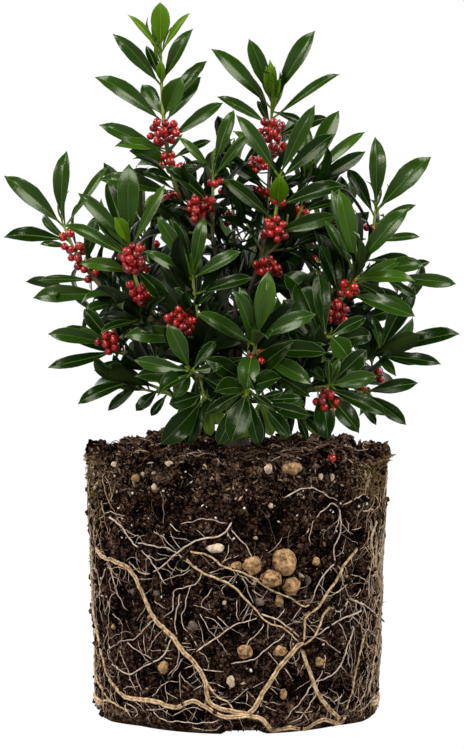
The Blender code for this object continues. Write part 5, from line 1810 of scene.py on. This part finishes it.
def stage():
    """A white floor that runs into a white background, and soft light from the upper left."""
    bpy.ops.mesh.primitive_plane_add(size=30.0, location=(0.0, 0.0, -0.0002))
    floor = bpy.context.object
    floor.name = "floor"
    material, tree, shader = new_material("floor_white", (0.30, 0.30, 0.30), 0.9, 0.0)
    glow = tree.nodes.new("ShaderNodeEmission")
    glow.inputs["Strength"].default_value = FLOOR_GLOW
    seen_glow(tree, shader.outputs["BSDF"], glow.outputs["Emission"], "Material Output", FLOOR_SEEN)
    floor.data.materials.append(material)

    world = bpy.data.worlds.new("world")
    bpy.context.scene.world = world
    world.use_nodes = True
    tree = world.node_tree
    seen = tree.nodes["Background"]
    seen.inputs["Color"].default_value = (1.0, 1.0, 1.0, 1.0)
    ambient = tree.nodes.new("ShaderNodeBackground")
    ambient.inputs["Color"].default_value = (1.0, 1.0, 0.97, 1.0)
    ambient.inputs["Strength"].default_value = AMBIENT
    seen_glow(tree, ambient.outputs["Background"], seen.outputs["Background"], "World Output", 1.0)

    for name, way, strength, width in SUNS:
        light = bpy.data.lights.new(name, "SUN")
        light.energy = strength
        light.angle = math.radians(width)
        lamp = bpy.data.objects.new(name, light)
        lamp.rotation_euler = Vector(way).to_track_quat("Z", "Y").to_euler()
        bpy.context.scene.collection.objects.link(lamp)

    camera = bpy.data.cameras.new("camera")
    camera.sensor_fit = "VERTICAL"
    camera.sensor_height = SENSOR
    camera.lens = FOCAL_PIXELS / PHOTO_HEIGHT * SENSOR
    camera.clip_end = 50.0
    holder = bpy.data.objects.new("camera", camera)
    holder.location = CAMERA_PLACE
    holder.rotation_euler = (math.radians(90 - CAMERA_PITCH), 0.0, 0.0)
    bpy.context.scene.collection.objects.link(holder)
    bpy.context.scene.camera = holder
    bpy.context.scene.view_settings.view_transform = "Standard"


def plant():
    # The dark, middle and light greens are the leaves' own tones and also serve as painted shade and painted light
    leaf_materials = [
        leaf_material("leaf_dark", (0.0052, 0.0200, 0.0005), 0.25, 0.20),
        leaf_material("leaf_middle", (0.0170, 0.0500, 0.0030), 0.25, 0.34),
        leaf_material("leaf_light", (0.0320, 0.0840, 0.0035), 0.26, 0.34),
        leaf_material("leaf_young", (0.070, 0.162, 0.0012), 0.38, 0.16),
        leaf_material("leaf_margin", (0.060, 0.110, 0.020)),
        leaf_material("leaf_midrib", (0.070, 0.125, 0.018), 0.4, 0.3),
        # The underside's paler green, darkened to a painted shade because undersides mostly lie in shade
        leaf_material("leaf_under_shaded", (0.022, 0.044, 0.006), 0.5, 0.2),
        leaf_material("midrib_young", (0.190, 0.270, 0.020), 0.4, 0.2),
        leaf_material("under_young", (0.085, 0.150, 0.010), 0.5, 0.2),
        # The darkest green, with little sheen: painted shade for the leaves deep inside the crown
        leaf_material("leaf_deep_shade", (0.0024, 0.0075, 0.0003), 0.42, 0.10),
    ]
    berry_materials = []
    for shade, colour in (("red", (0.37, 0.007, 0.004)), ("crimson", (0.18, 0.003, 0.003))):
        berry, _, shader = new_material(f"berry_{shade}", colour, 0.22, 0.40)
        shader.inputs["Coat Weight"].default_value = 0.65
        shader.inputs["Coat Roughness"].default_value = 0.09
        berry_materials += [
            berry,
            new_material(f"calyx_{shade}", (0.090, 0.008, 0.005), 0.8)[0],
            new_material(f"stalk_{shade}", (0.150, 0.120, 0.035), 0.6)[0],
        ]
    twig_materials = [
        earth_material("twig_green", (0.17, 0.22, 0.035), (0.31, 0.37, 0.075), 150.0, 0.5, 0.15),
        earth_material("twig_olive", (0.075, 0.065, 0.020), (0.17, 0.145, 0.05), 150.0, 0.6, 0.25),
        earth_material("twig_brown", (0.030, 0.022, 0.012), (0.095, 0.070, 0.042), 150.0, 0.7, 0.35),
    ]
    # The bark's own brown, darkened overall as painted shade for a trunk that stands in the crown's shadow
    bark = earth_material("bark", (0.022, 0.016, 0.010), (0.085, 0.064, 0.044), 220.0, 0.85, 0.7)
    limbs(bark)
    hearts = cluster_hearts()
    total = [0, 0]
    for index, mass in enumerate(BOUGH_RINGS):
        found = grow_mass(mass, hearts, (leaf_materials, berry_materials, twig_materials), 100 + index)
        total = [a + b for a, b in zip(total, found)]
    print("leaves and berries", total)


plant()
root_ball()
stage()
